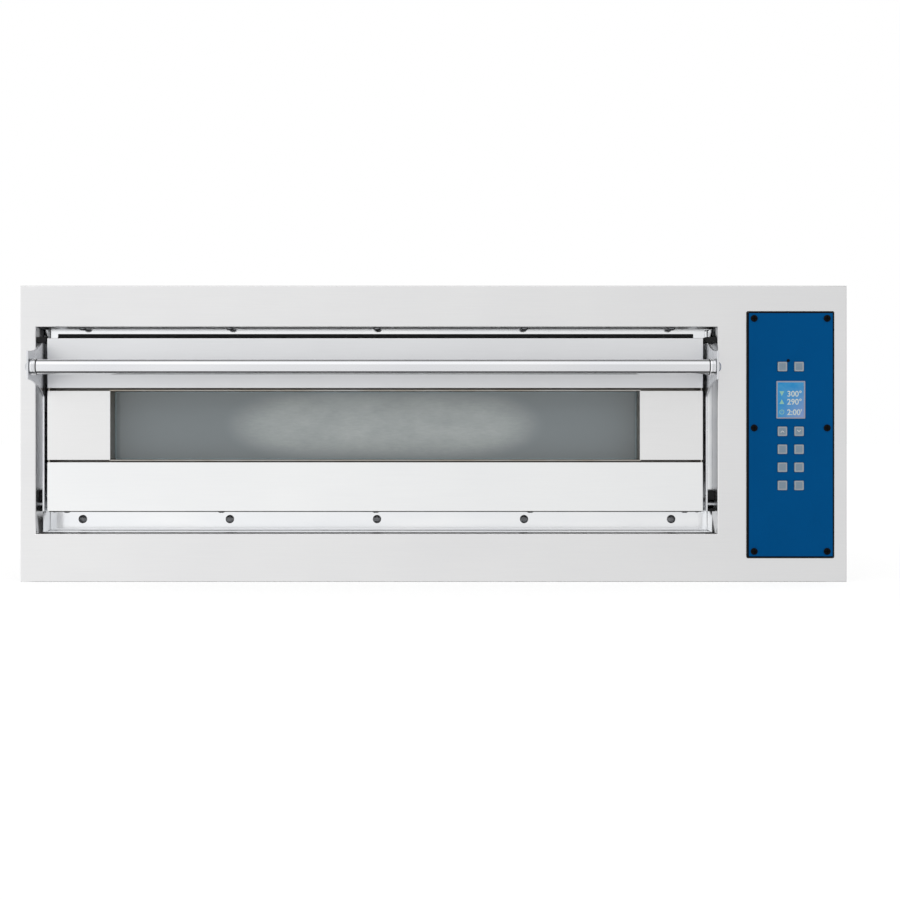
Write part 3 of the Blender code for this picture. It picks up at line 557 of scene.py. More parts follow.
def rim_test(y, *holes):
    """A test for the edges of the flat front that bound none of the holes: its outer rim."""
    return lambda edge: on_front(edge, y) and not hole_test(y, *holes)(edge)


def grown(low, high, x_margin, z_margin):
    """The X and Z spans of a box, grown by margins."""
    return (low.x - x_margin, high.x + x_margin), (low.z - z_margin, high.z + z_margin)


print("sheet", SHEET / MM, "mm")


# %% [markdown]
# ## Fascia
# One sheet covers the whole front. Its outer edge is folded back 25 mm all round, and the edge of the door
# opening is folded back far enough to meet the polished frame behind. The window for the keys is only cut.

# %% Fascia
fascia_low, fascia_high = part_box("front_fascia")
FRONT_Y = fascia_low.y
recess_low, recess_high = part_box("mouth_frame")
opening = grown(recess_low, recess_high, -SHEET, -SHEET)
BOARD_MARGIN, RETURN = 4 * MM, 25 * MM
cutout = grown(*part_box("control_board"), BOARD_MARGIN, BOARD_MARGIN)
fascia_folds = [(hole_test(FRONT_Y, opening), fascia_high.y - FRONT_Y),
                (rim_test(FRONT_Y, opening, cutout), RETURN)]
folded_sheet("fascia_sheet", grown(fascia_low, fascia_high, 0, 0), FRONT_Y, fascia_folds, fascia_steel,
             "front_fascia", FOLD, (opening, cutout))
print("opening", [[round(v * 1000, 1) for v in span] for span in opening], "mm")

# %% [markdown]
# ## Mouth frame
# Behind the fascia a polished tray lines the recess. Its back is a flange round the chamber's mouth, its
# walls come forward to meet the fascia, and the folds between them are round. A separate strip closes the
# recess just behind the top of the door, and ends a little short of each jamb. A rubber buffer sits in each
# upper corner, where the door would otherwise strike the steel.

# %% Mouth frame, head strip and buffers
def slab(name, low, high, material, body, radius):
    """A plain box with rounded edges, given two opposite corners."""
    def build(data):
        middle, size = (Vector(low) + Vector(high)) / 2, Vector(high) - Vector(low)
        place = Matrix.Translation(middle) @ Matrix.Diagonal((*size, 1.0))
        bmesh.ops.create_cube(data, size=1.0, matrix=place)
    round_edges(settle(name, mesh_from(build), [material], body), radius)


flange_y = recess_high.y - SHEET
SEAL_LAP_X, SEAL_LAP_Z = 10 * MM, 8 * MM
mouth = grown(*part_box("mouth_seal"), -SEAL_LAP_X, -SEAL_LAP_Z)
mouth_folds = [(rim_test(flange_y, mouth), recess_low.y - flange_y)]
folded_sheet("mouth_lining", opening, flange_y, mouth_folds, mirror, "mouth_frame", MOUTH_FOLD, (mouth,))
STRIP_X = (-0.5668, 0.4018)
STRIP_BOTTOM = 0.350
strip_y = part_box("door_frame")[1].y + 0.9 * MM
slab("head_strip", (STRIP_X[0], strip_y, STRIP_BOTTOM), (STRIP_X[1], strip_y + SHEET, opening[1][1]), mirror,
     "casing", 0.3 * MM)
BUFFER_Y = (FRONT_Y + 3 * MM, FRONT_Y + 46 * MM)
BUFFER_Z = (0.3475, 0.3560)
BUFFER_ENDS = (-0.5628, 0.3955)
BUFFER_AIR = 0.2 * MM
for hand, span in (("left", (opening[0][0] + BUFFER_AIR, BUFFER_ENDS[0])),
                   ("right", (BUFFER_ENDS[1], opening[0][1] - BUFFER_AIR))):
    slab(f"door_buffer_{hand}", (span[0], BUFFER_Y[0], BUFFER_Z[0]), (span[1], BUFFER_Y[1], BUFFER_Z[1]),
         black_rubber, "casing", 1.2 * MM)
print("mouth", [[round(v * 1000, 1) for v in span] for span in mouth], "mm")

# %% [markdown]
# ## Gap strips
# A narrow polished strip stands in the gap beside each cheek, between the bearing block and the buffer. It is
# a guess at what closes the gap there, where flour and crumbs would otherwise fall behind the door.

# %% Gap strips
GAP_Y = FRONT_Y + 45 * MM
GAP_AIR = 0.8 * MM
gap_z = (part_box("hinge_bearing_left")[1].z + GAP_AIR, BUFFER_Z[0] - 0.1 * MM)
for hand, span in (("left", (opening[0][0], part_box("door_cheek_left")[0].x - GAP_AIR)),
                   ("right", (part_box("door_cheek_right")[1].x + GAP_AIR, opening[0][1]))):
    slab(f"gap_strip_{hand}", (span[0], GAP_Y, gap_z[0]), (span[1], GAP_Y + SHEET, gap_z[1]), mirror,
         "casing", 0.3 * MM)
    print("gap strip", hand, "width", round((span[1] - span[0]) * 1000, 1), "mm")

# %% [markdown]
# ## Door plates
# Four plates clad the door: a band above the window, one below it, and an infill at each end. Each is folded
# only where its edge is free, so the joints between them stay as narrow, dark gaps.

# %% Door plates
def door_plate(node, piece_name, material, sides, bottom_trim=0.0, top_trim=0.0):
    """A folded plate over a node; sides names the folded edges, and the trims widen a joint."""
    low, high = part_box(node)
    low.z, high.z = low.z + bottom_trim, high.z - top_trim
    places = {"left": (0, low.x), "right": (0, high.x), "bottom": (2, low.z), "top": (2, high.z)}
    tests = [side_test(low.y, *places[side]) for side in sides]
    folds = [(lambda edge: any(test(edge) for test in tests), high.y - low.y)]
    folded_sheet(piece_name, grown(low, high, 0, 0), low.y, folds, material, node, FOLD)


# The band takes the painted shade and the kick plate the painted light.
door_plate("door_upper_panel", "door_band", shaded_band_steel, ("left", "right", "top"), bottom_trim=0.7 * MM)
door_plate("door_lower_panel", "door_kick_plate", lit_door_steel, ("left", "right", "bottom"), top_trim=1.2 * MM)
for hand in ("left", "right"):
    door_plate(f"door_infill_{hand}", f"window_infill_{hand}", infill_steel, (hand,))
print("door plates made")

# %% [markdown]
# ## Cheeks
# A polished plate closes each end of the door. Its ear runs forward to the handle and is waisted, as if two
# bites were taken out of it. The outline is a formula, so it can be as fine as it needs to be.

# %% Cheeks
def push_out(data, outline, offset):
    """A solid swept from a flat outline of points; returns all its faces."""
    face = data.faces.new([data.verts.new(point) for point in outline])
    moved = move_new(data, bmesh.ops.extrude_face_region(data, geom=[face]), offset)
    return {face, *(part for vertex in moved for part in vertex.link_faces)}


EAR_BASE, EAR_END, EAR_CENTRE = 42 * MM, 20 * MM, 311 * MM
EAR_SWEEP = 2.2
EAR_STEPS = 36
for hand in ("left", "right"):
    node = f"door_cheek_{hand}"
    low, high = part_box(node)
    steps = [step / EAR_STEPS for step in range(EAR_STEPS + 1)]
    ear = [(FRONT_Y + (low.y - FRONT_Y) * part, EAR_END + (EAR_BASE - EAR_END) * (1 - part) ** EAR_SWEEP)
           for part in steps]
    under = [(y, EAR_CENTRE - rise) for y, rise in ear]
    over = [(y, EAR_CENTRE + rise) for y, rise in reversed(ear) if EAR_CENTRE + rise < high.z]
    outline = [(high.y, low.z), (FRONT_Y, low.z), *under, *over, (over[-1][0] + 1 * MM, high.z),
               (high.y, high.z)]
    mesh = mesh_from(lambda data: push_out(data, [(low.x, y, z) for y, z in outline], (high.x - low.x, 0, 0)))
    round_edges(stand_in(f"cheek_plate_{hand}", mesh, [cheek_mirror], node), 0.5 * MM)
print("ear outline has", len(outline), "points")

# %% [markdown]
# ## Handle
# The handle is a 21 mm polished tube. A turned collar with a groove dresses each end, and a domed bolt holds
# it from outside the cheek. All of these are turned shapes: a profile spun round the tube's axis.

# %% Turned shapes
def turned(rings, centre, axis, segments=96, closed=False):
    """A mesh made by spinning a profile of (along, radius) points round an axis through centre."""
    along = Vector([1.0 if letter == axis else 0.0 for letter in "XYZ"])
    base = Vector(centre) - along * Vector(centre).dot(along)

    def build(data):
        rim = [data.verts.new(base + along * reach + Vector((0, 0, radius))) for reach, radius in rings]
        edges = [data.edges.new(pair) for pair in zip(rim, rim[1:])]
        if closed:
            edges.append(data.edges.new((rim[-1], rim[0])))
        bmesh.ops.spin(data, geom=rim + edges, cent=base, axis=along, dvec=(0, 0, 0), angle=math.tau,
                       steps=segments, use_merge=True)
        bmesh.ops.remove_doubles(data, verts=data.verts, dist=1e-7)

    return mesh_from(build, 40)


tube_low, tube_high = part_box("handle_tube")
tube_axis = (tube_low + tube_high) / 2
TUBE_RADIUS = (tube_high.z - tube_low.z) / 2
TUBE_BORE = TUBE_RADIUS - SHEET
bar = turned([(tube_low.x, TUBE_BORE), (tube_high.x, TUBE_BORE), (tube_high.x, TUBE_RADIUS),
              (tube_low.x, TUBE_RADIUS)], tube_axis, "X", closed=True)
stand_in("handle_bar", bar, [tube_steel], "handle_tube")
print("tube diameter", round(2000 * TUBE_RADIUS, 2), "mm")


# %% Handle collars and bolts
def arc(centre, radii, turns):
    """Points on an ellipse round a centre, at angles in degrees."""
    return [(centre[0] + radii[0] * math.cos(math.radians(turn)),
             centre[1] + radii[1] * math.sin(math.radians(turn))) for turn in turns]


def ends(node, side):
    """A node's outer and inner X; side is -1 at the left of the door and 1 at the right."""
    low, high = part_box(node)
    return (low.x, high.x)[::-side]


def handle_end(hand, side):
    """The collar inside a cheek and the domed bolt outside it."""
    outer, inner = ends(f"door_cheek_{hand}", side)
    clear, length, rise, groove = 0.3 * MM, 8 * MM, 1.2 * MM, 0.6 * MM
    root, crown = TUBE_RADIUS + 0.15 * MM, TUBE_RADIUS + rise
    profile = [(0.0, root), (0.0, crown - 0.8 * MM), (0.8 * MM, crown), (3.4 * MM, crown),
               (3.9 * MM, crown - groove), (4.9 * MM, crown - groove), (5.4 * MM, crown),
               (length - 1.2 * MM, crown), (length, crown - 1.0 * MM), (length, root)]
    collar = turned([(inner - side * (clear + step), height) for step, height in profile], tube_axis, "X",
                    closed=True)
    settle(f"handle_collar_{hand}", collar, [tube_steel], "door")
    start = inner - side * (clear + length + 0.1 * MM)
    stop, top = start - side * 1.1 * MM, TUBE_RADIUS + 0.5 * MM
    ring = turned([(start, root), (start, top), (stop, top), (stop, root)], tube_axis, "X", closed=True)
    settle(f"handle_ring_{hand}", ring, [black_rubber], "door")
    bolt = f"handle_bolt_{hand}"
    tip, tail = ends(bolt, side)
    seat, neck, girth = outer + side * clear, 6 * MM, (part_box(bolt)[1].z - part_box(bolt)[0].z) / 2
    dome = arc((seat, 0), (tip - seat, girth), range(0, 91, 6))
    stand_in(f"handle_end_bolt_{hand}",
             turned([*dome, (seat, neck), (tail, neck), (tail, 0)], tube_axis, "X", 64), [pin_steel], bolt)


handle_end("left", -1)
handle_end("right", 1)
print("handle ends made")

# %% [markdown]
# ## Seals
# A strip of black silicone lies along the top edge of the door and closes the gap to the recess. It is
# extruded, so its section is the same all along: a rounded lip on a flat foot.

# %% Seal along the door's top edge
seal_low, seal_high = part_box("door_top_seal")
middle, half = (seal_low.y + seal_high.y) / 2, (seal_high.y - seal_low.y) / 2
lip = half * 0.62
FOOT, SHOULDER = 1.6 * MM, 2.4 * MM
crest = seal_high.z - lip
section = [(middle - half, seal_low.z), (middle + half, seal_low.z), (middle + half, seal_low.z + FOOT),
           (middle + lip, seal_low.z + SHOULDER),
           *arc((middle, crest), (lip, lip), range(0, 181, 20)),
           (middle - lip, seal_low.z + SHOULDER), (middle - half, seal_low.z + FOOT)]
seal_mesh = mesh_from(lambda data: push_out(data, [(seal_low.x, y, z) for y, z in section],
                                            (seal_high.x - seal_low.x, 0, 0)), 40)
stand_in("door_top_strip", seal_mesh, [black_rubber], "door_top_seal")
print("seal section has", len(section), "points")

# %% [markdown]
# A second, much thinner black strip, also a guess, lies under the door's lower edge. Only its lip shows, as a
# fine dark line: it stands in for the shadow under the door, a painted shadow.

# %% Painted shadow line under the door's lower edge
kick_low, kick_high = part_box("door_lower_panel")
SHADOW_STRIP_THICK, SHADOW_STRIP_DROP = 2.4 * MM, 0.7 * MM
SHADOW_STRIP_INSET, SHADOW_STRIP_AIR = 3 * MM, 0.02 * MM
slab("door_shadow_strip", (kick_low.x + SHADOW_STRIP_INSET, kick_low.y + MM, kick_low.z - SHADOW_STRIP_DROP),
     (kick_high.x - SHADOW_STRIP_INSET, kick_low.y + MM + SHADOW_STRIP_THICK, kick_low.z - SHADOW_STRIP_AIR), black_rubber,
     "door", 0.2 * MM)
print("lip", round((kick_high.x - kick_low.x - 2 * SHADOW_STRIP_INSET) * 1000, 1), "mm long")

# %% [markdown]
# ## Screws
# The oven is held together by pan-head machine screws with a cross recess. A screw head repeats many times, so
# one Geometry Nodes tree makes it: a cylinder cut to a dome by an ellipsoid, with two crossed slots cut out.
# The tree puts a head on each point of a guide mesh and turns it to the direction stored on that point.

# %% The screw-head tree
def open_tree(name, sizes):
    """A Geometry Nodes tree with a geometry, a material and named sizes to fill, and its two ends."""
    tree = bpy.data.node_groups.new(name, "GeometryNodeTree")
    tree.interface.new_socket("Geometry", in_out="INPUT", socket_type="NodeSocketGeometry")
    for size_name in sizes:
        tree.interface.new_socket(size_name, in_out="INPUT", socket_type="NodeSocketFloat")
    tree.interface.new_socket("Material", in_out="INPUT", socket_type="NodeSocketMaterial")
    tree.interface.new_socket("Geometry", in_out="OUTPUT", socket_type="NodeSocketGeometry")
    return tree, add(tree, "NodeGroupInput").outputs, add(tree, "NodeGroupOutput")


def close_tree(tree, given, result, instance):
    """End a tree: the shape on every point, turned to the point's direction, smoothed and painted."""
    facing = add(tree, "GeometryNodeInputNamedAttribute", {"Name": "facing"}, data_type="FLOAT_VECTOR")
    turn = add(tree, "FunctionNodeAlignRotationToVector", {"Vector": facing.outputs["Attribute"]}, axis="Z")
    placed = add(tree, "GeometryNodeInstanceOnPoints", {"Points": given["Geometry"], "Instance": instance,
                                                        "Rotation": turn.outputs["Rotation"]})
    real = add(tree, "GeometryNodeRealizeInstances", {"Geometry": placed.outputs["Instances"]})
    smooth = add(tree, "GeometryNodeSetShadeSmooth", {"Geometry": real.outputs[0]})
    painted = add(tree, "GeometryNodeSetMaterial",
                  {"Geometry": smooth.outputs[0], "Material": given["Material"]})
    tree.links.new(painted.outputs[0], result.inputs[0])
    print(tree.name, "has", len(tree.nodes), "nodes")
    return tree


def screw_tree():
    """A domed pan head with a cross recess."""
    tree, given, result = open_tree("screw_heads", ("Head diameter", "Head height"))
    width, height = given["Head diameter"], given["Head height"]

    def share(size, factor):
        return maths(tree, "MULTIPLY", size, factor)

    rim = add(tree, "GeometryNodeMeshCylinder", {"Vertices": 28, "Radius": share(width, 0.5),
                                                 "Depth": share(height, 2.0)})
    ball = add(tree, "GeometryNodeMeshUVSphere", {"Segments": 28, "Rings": 20, "Radius": 1.0})
    girth = share(width, 0.56)
    squeeze = add(tree, "ShaderNodeCombineXYZ", {"X": girth, "Y": girth, "Z": height}).outputs[0]
    dome = add(tree, "GeometryNodeTransform", {"Geometry": ball.outputs["Mesh"], "Scale": squeeze})
    head = add(tree, "GeometryNodeMeshBoolean", {"Mesh 2": rim.outputs["Mesh"]}, operation="INTERSECT",
               solver="EXACT")
    tree.links.new(dome.outputs[0], head.inputs["Mesh 2"])
    recess = add(tree, "GeometryNodeMeshBoolean", {"Mesh 1": head.outputs["Mesh"]}, operation="DIFFERENCE",
                 solver="EXACT")
    long_side, short_side = share(width, 0.62), share(width, 0.14)
    for across, up in ((long_side, short_side), (short_side, long_side)):
        size = add(tree, "ShaderNodeCombineXYZ", {"X": across, "Y": up, "Z": share(height, 1.5)}).outputs[0]
        lift = add(tree, "ShaderNodeCombineXYZ", {"Z": share(height, 1.1)}).outputs[0]
        slot = add(tree, "GeometryNodeMeshCube", {"Size": size}).outputs["Mesh"]
        lifted = add(tree, "GeometryNodeTransform", {"Geometry": slot, "Translation": lift}).outputs[0]
        tree.links.new(lifted, recess.inputs["Mesh 2"])
    return close_tree(tree, given, result, recess.outputs["Mesh"])


SCREWS = screw_tree()


# %% Growing a tree on a guide
def grow(name, tree, points, sizes, material, body, smooth_angle=30):
    """Run a tree on loose points, each with the direction it faces, and keep the result as a piece."""
    guide = bpy.data.meshes.new("guide")
    guide.from_pydata([point for point, _ in points], [], [])
    for item, (_, direction) in zip(guide.attributes.new("facing", "FLOAT_VECTOR", "POINT").data, points):
        item.vector = direction
    holder = bpy.data.objects.new(name, guide)
    bpy.context.scene.collection.objects.link(holder)
    modifier = holder.modifiers.new("grow", "NODES")
    modifier.node_group = tree
    given = {**sizes, "Material": material}
    for item in tree.interface.items_tree:
        if item.in_out == "INPUT" and item.name in given:
            modifier[item.identifier] = given[item.name]
    bpy.context.view_layer.update()
    mesh = bpy.data.meshes.new_from_object(holder.evaluated_get(bpy.context.evaluated_depsgraph_get()))
    bpy.data.objects.remove(holder)
    mesh.set_sharp_from_angle(angle=math.radians(smooth_angle))
    settle(name, mesh, [material], body)


def screws(name, points, material, body, diameter_mm, height_mm):
    """A set of screw heads on points that each face a direction."""
    sizes = {"Head diameter": diameter_mm * MM, "Head height": height_mm * MM}
    grow(name, SCREWS, points, sizes, material, body)
    print(name, len(points))


def row(start, end, count=5):
    """Evenly spaced values from start to end."""
    return [start + (end - start) * step / (count - 1) for step in range(count)]


# %% Screws in the recess and the door
FRONTWARD, DOWNWARD, UPWARD = (0, -1, 0), (0, 0, -1), (0, 0, 1)
FLANGE_XS = row(-0.5279, 0.3577)
CEILING_XS = row(-0.5150, 0.3495)
DOOR_XS = row(-0.5386, 0.3690)
sill_z = opening[1][0] + 16.7 * MM
band_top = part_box("door_upper_panel")[1].z
CEILING_Y, TOP_Y, LOW_Y, CORNER_Y = (FRONT_Y + back * MM for back in (30, 42, 32, 26))
CORNER_INSET = 5.5 * MM
corner_xs = (kick_low.x + CORNER_INSET, kick_high.x - CORNER_INSET)
for name, xs, y, z, facing, body, diameter_mm, height_mm in (
        ("mouth_flange_screws", FLANGE_XS, flange_y - 0.1 * MM, sill_z, FRONTWARD, "casing", 12.5, 3.6),
        ("recess_head_screws", CEILING_XS, CEILING_Y, opening[1][1], DOWNWARD, "casing", 10.5, 3.4),
        ("door_top_screws", DOOR_XS, TOP_Y, band_top, UPWARD, "door", 10, 3.2),
        ("door_bottom_screws", DOOR_XS, LOW_Y, kick_low.z, DOWNWARD, "door", 11, 3.6),
        ("door_corner_screws", corner_xs, CORNER_Y, kick_low.z, DOWNWARD, "door", 7, 2.6)):
    screws(name, [((x, y, z), facing) for x in xs], screw_steel, body, diameter_mm, height_mm)

# %% Screws of the control panel and the casing
panel_low, panel_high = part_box("control_panel_plate")
PANEL_LEFT_IN, PANEL_RIGHT_IN = 8.6 * MM, 9.1 * MM
PANEL_TOP_IN, PANEL_FOOT_IN = 8.7 * MM, 8.2 * MM
PANEL_MIDDLE_Z = 0.2236
panel_xs = (panel_low.x + PANEL_LEFT_IN, panel_high.x - PANEL_RIGHT_IN)
panel_zs = (panel_high.z - PANEL_TOP_IN, PANEL_MIDDLE_Z, panel_low.z + PANEL_FOOT_IN)
screws("control_panel_screws", [((x, panel_low.y, z), FRONTWARD) for x in panel_xs for z in panel_zs],
       black_oxide, "casing", 10, 2.4)
left_x, right_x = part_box("left_side_panel")[0].x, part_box("right_side_panel")[1].x
side_low, side_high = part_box("left_side_panel")
SIDE_INSET, REAR_REACH = 30 * MM, 0.57
CASING_ZS = (0.030, 0.400)
FLUSH_MM = 1.3
side_points = [((x, y, z), (way, 0, 0)) for x, way in ((left_x, -1), (right_x, 1))
               for y in row(side_low.y + SIDE_INSET, side_high.y - SIDE_INSET) for z in CASING_ZS]
screws("side_panel_screws", side_points, pin_steel, "casing", 8, FLUSH_MM)
rear_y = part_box("rear_panel")[1].y
rear_points = [((x, rear_y, z), (0, 1, 0)) for x in row(-REAR_REACH, REAR_REACH, 6) for z in CASING_ZS]
screws("rear_panel_screws", rear_points, pin_steel, "casing", 8, FLUSH_MM)

# %% [markdown]
# ## Ventilation slots
# The electronics bay breathes through a row of slots in the right-hand side. Their edges are raised into a
# rounded bead by the press. A tree sweeps a small round section along a rounded rectangle and repeats it.

# %% Beads round the slots
def bead_tree():
    """A small round section swept along a rounded rectangle."""
    tree, given, result = open_tree("slot_beads", ("Slot width", "Slot height", "Bead radius"))
    line = add(tree, "GeometryNodeCurvePrimitiveQuadrilateral",
               {"Width": given["Slot width"], "Height": given["Slot height"]})
    corner = maths(tree, "MULTIPLY", given["Slot width"], 0.45)
    rounded = add(tree, "GeometryNodeFilletCurve",
                  {"Curve": line.outputs["Curve"], "Radius": corner, "Limit Radius": True})
    section = add(tree, "GeometryNodeCurvePrimitiveCircle",
                  {"Resolution": 10, "Radius": given["Bead radius"]})
    bead = add(tree, "GeometryNodeCurveToMesh", {"Curve": rounded.outputs["Curve"],
                                                 "Profile Curve": section.outputs["Curve"]})
    return close_tree(tree, given, result, bead.outputs["Mesh"])


SLOT_START, SLOT_PITCH, SLOT_WIDTH = 0.200, 0.014, 0.005
SLOT_Z = (0.060, 0.130)
SLOT_COUNT = 12
BEAD = 2 * MM
slot_points = [((right_x, SLOT_START + SLOT_WIDTH / 2 + SLOT_PITCH * step, sum(SLOT_Z) / 2), (1, 0, 0))
               for step in range(SLOT_COUNT)]
slot_sizes = {"Slot width": SLOT_Z[1] - SLOT_Z[0] + BEAD, "Slot height": SLOT_WIDTH + BEAD,
              "Bead radius": BEAD / 2}
grow("side_slot_beads", bead_tree(), slot_points, slot_sizes, side_steel, "casing", 50)

# %% [markdown]
# ## Keys and display
# Each key is a moulded square with rounded corners and a pale printed border, and two of them carry arrows.
# The display shows plain figures: two temperatures with a mark for top and bottom heat, and a time.

# %% Rounded rectangles
def rounded_rectangle(x_span, z_span, radius, steps=6):
    """Corner points of a rounded rectangle in X and Z, anticlockwise seen from the front."""
    corners = ((x_span[1] - radius, z_span[0] + radius, -90), (x_span[1] - radius, z_span[1] - radius, 0),
               (x_span[0] + radius, z_span[1] - radius, 90), (x_span[0] + radius, z_span[0] + radius, 180))
    quarter = [90 * step / steps for step in range(steps + 1)]
    return [point for x, z, turn in corners
            for point in arc((x, z), (radius, radius), [turn + part for part in quarter])]


def prism(data, outline, y_front, y_back, material_index=0):
    """A flat-fronted prism with an outline in X and Z."""
    for part in push_out(data, [(x, y_front, z) for x, z in outline], (0, y_back - y_front, 0)):
        part.material_index = material_index


def ring(data, outer, inner, y_front, y_back, material_index):
    """A flat ring with thickness between two outlines that have the same number of points."""
    loops = [[data.verts.new((x, y, z)) for x, z in outline]
             for outline, y in ((outer, y_back), (outer, y_front), (inner, y_front), (inner, y_back))]
    for first, second in zip(loops, loops[1:] + loops[:1]):
        for place in range(len(outer)):
            after = (place + 1) % len(outer)
            part = data.faces.new([first[place], first[after], second[after], second[place]])
            part.material_index = material_index


def inset(span, width):
    """A span drawn in by a width at both ends."""
    return span[0] + width, span[1] - width


def border(data, x_span, z_span, radius, width, y_front, y_back, material_index):
    """A rounded rectangular frame."""
    ring(data, rounded_rectangle(x_span, z_span, radius),
         rounded_rectangle(inset(x_span, width), inset(z_span, width), max(radius - width, 0.2 * MM)),
         y_front, y_back, material_index)


# %% Keys
KEY_HALF, KEY_RADIUS = 6.9 * MM, 1.5 * MM
PRINT, PRINT_DEPTH = 0.08 * MM, 0.28 * MM
BORDER_INSET, BORDER_WIDTH = 0.5 * MM, 1.5 * MM


def arrow(data, x, z, rise, y, material_index):
    """A chevron that points up, with rise 1, or down, with rise -1."""
    half, thick, tip = 2.6 * MM, rise * 1.3 * MM, rise * 1.1 * MM
    outline = [(x - half, z - tip), (x, z + tip), (x + half, z - tip),
               (x + half, z - tip - thick), (x, z + tip - thick), (x - half, z - tip - thick)]
    prism(data, outline[::rise], y, y + PRINT_DEPTH, material_index)


def key_piece(row_name, column):
    """One key: cap, border and, on the arrow keys, its arrow."""
    node = f"key_{row_name}_{column}"
    low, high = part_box(node)
    x, z = (low.x + high.x) / 2, (low.z + high.z) / 2
    x_span, z_span = (x - KEY_HALF, x + KEY_HALF), (z - KEY_HALF, z + KEY_HALF)

    def build(data):
        prism(data, rounded_rectangle(x_span, z_span, KEY_RADIUS), low.y + PRINT, high.y)
        border(data, inset(x_span, BORDER_INSET), inset(z_span, BORDER_INSET), KEY_RADIUS - BORDER_INSET,
               BORDER_WIDTH, low.y, low.y + PRINT_DEPTH, 1)
        if row_name == "upper":
            arrow(data, x, z, 1 if column == "left" else -1, low.y, 2)

    stand_in(f"push_{node}", mesh_from(build), [key_plastic, rim_print, icon_print], node)


for row_name in ("top", "upper", "middle", "lower", "bottom"):
    for column in ("left", "right"):
        key_piece(row_name, column)
print("keys made")

# %% [markdown]
# The screen is a lit panel, so it gives off its own light: blue, paler to the right and at the foot. Its glass
# is a thin clear cover with soft reflections.

# %% Display
screen_low, screen_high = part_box("display_module")
BEZEL = 2.0 * MM
screen_x = inset((screen_low.x, screen_high.x), BEZEL)
screen_z = inset((screen_low.z, screen_high.z), BEZEL)
DARK_GLASS = "05080C"


def lit_screen(name):
    """A backlit panel with a sky-blue ground that turns lavender towards its lower right."""
    material, tree, shader, place = start_material(name, DARK_GLASS, 0.0, 0.25, 0.2,
                                                   {"Emission Strength": 0.90})
    parts = add(tree, "ShaderNodeSeparateXYZ", {0: place}).outputs
    corner = maths(tree, "MULTIPLY", spread(tree, parts["X"], 0.0, 1.0, *screen_x),
                   spread(tree, parts["Z"], 1.0, 0.0, *screen_z))
    patches = spread(tree, noise(tree, place, (14, 14, 10), 2.0), 0.0, 1.0, 0.3, 0.7)
    ground = blend(tree, patches, "1A86C2", "3F93C6")
    fill(tree, shader, {"Emission Color": blend(tree, corner, ground, "8296C4")})
    return material


def lit_figures(name, colour):
    """Glowing figures; a fine grain of darker gaps stands for the dots of the panel."""
    material, tree, shader, place = start_material(name, DARK_GLASS, 0.0, 0.4,
                                                   extra={"Emission Strength": 0.85})
    gaps = spread(tree, noise(tree, place, (0.6, 0.6, 0.6), 1.0), 0.0, 0.5)
    fill(tree, shader, {"Emission Color": blend(tree, gaps, colour, "7FA9C4")})
    return material


screen_glow = lit_screen("backlit_screen")
figure_glow = lit_figures("lit_pale_figures", "D4D8CE")
mark_glow = lit_figures("lit_green_marks", "8CC4A8")


def bezel(data):
    border(data, (screen_low.x, screen_high.x), (screen_low.z, screen_high.z), 1.2 * MM, BEZEL,
           screen_low.y, screen_low.y + 2.4 * MM, 0)
    prism(data, rounded_rectangle(screen_x, screen_z, 0.4 * MM), screen_low.y + 0.9 * MM, screen_high.y, 1)


stand_in("display_bezel", mesh_from(bezel), [bezel_plastic, screen_glow], "display_module")
print("screen", [round((span[1] - span[0]) * 1000, 1) for span in (screen_x, screen_z)], "mm")


# %% Figures on the display
figures_y = screen_low.y + 0.85 * MM
RAISED, SUNK = figures_y - 0.05 * MM, figures_y + 0.1 * MM
FIGURE_SIZE, MARK_SIZE = 11.4 * MM, 7.0 * MM
FIGURE_LEFT, FIGURE_DROP, MARK_LEFT = 13.6 * MM, 4.1 * MM, 6.0 * MM


def text_mesh(words, x, z):
    """Plain figures as a mesh, standing upright and facing the front, with their left end at x."""
    curve = bpy.data.curves.new("figures", "FONT")
    curve.body = words
    curve.size = FIGURE_SIZE
    curve.extrude = 0.05 * MM
    curve.offset = 0.2 * MM
    holder = bpy.data.objects.new("figures", curve)
    bpy.context.scene.collection.objects.link(holder)
    bpy.context.view_layer.update()
    mesh = bpy.data.meshes.new_from_object(holder.evaluated_get(bpy.context.evaluated_depsgraph_get()))
    bpy.data.objects.remove(holder)
    mesh.transform(Matrix.Translation((x, figures_y, z)) @ Matrix.Rotation(math.radians(90), 4, "X"))
    return mesh


def mark(data, x, z, rise):
    """A solid triangle that points up, with rise 1, or down, with rise -1."""
    half = MARK_SIZE / 2
    outline = [(x - half, z - rise * half), (x + half, z - rise * half), (x, z + rise * half)]
    prism(data, outline[::rise], RAISED, SUNK, 1)


def clock(data, x, z):
    """A ring with one hand."""
    outer, inner = (arc((x, z), (radius, radius), range(0, 360, 18))
                    for radius in (MARK_SIZE / 2, MARK_SIZE / 2 - 0.8 * MM))
    ring(data, outer, inner, RAISED, SUNK, 1)
    half, top = 0.3 * MM, 1.6 * MM
    prism(data, [(x - half, z - half), (x + half, z - half), (x + half, z + top), (x - half, z + top)],
          RAISED, SUNK, 1)


heights = [screen_z[1] - down * MM for down in (16.3, 27.9, 43.0)]
mark_x = screen_x[0] + MARK_LEFT


def display_text(data):
    for words, height in zip(("300°", "290°", "2:00'"), heights):
        data.from_mesh(text_mesh(words, screen_x[0] + FIGURE_LEFT, height - FIGURE_DROP))
    mark(data, mark_x, heights[0], -1)
    mark(data, mark_x, heights[1], 1)
    clock(data, mark_x, heights[2])


settle("display_figures", mesh_from(display_text), [figure_glow, mark_glow], "casing")
print("figures made")

# %% [markdown]
# ## Small things round the keys and the window
# A dark dot above the first key is the window of a sensor. A thin bead of silicone holds the pane in its
# tunnel; its pale colour is a painted highlight along the glass edge.

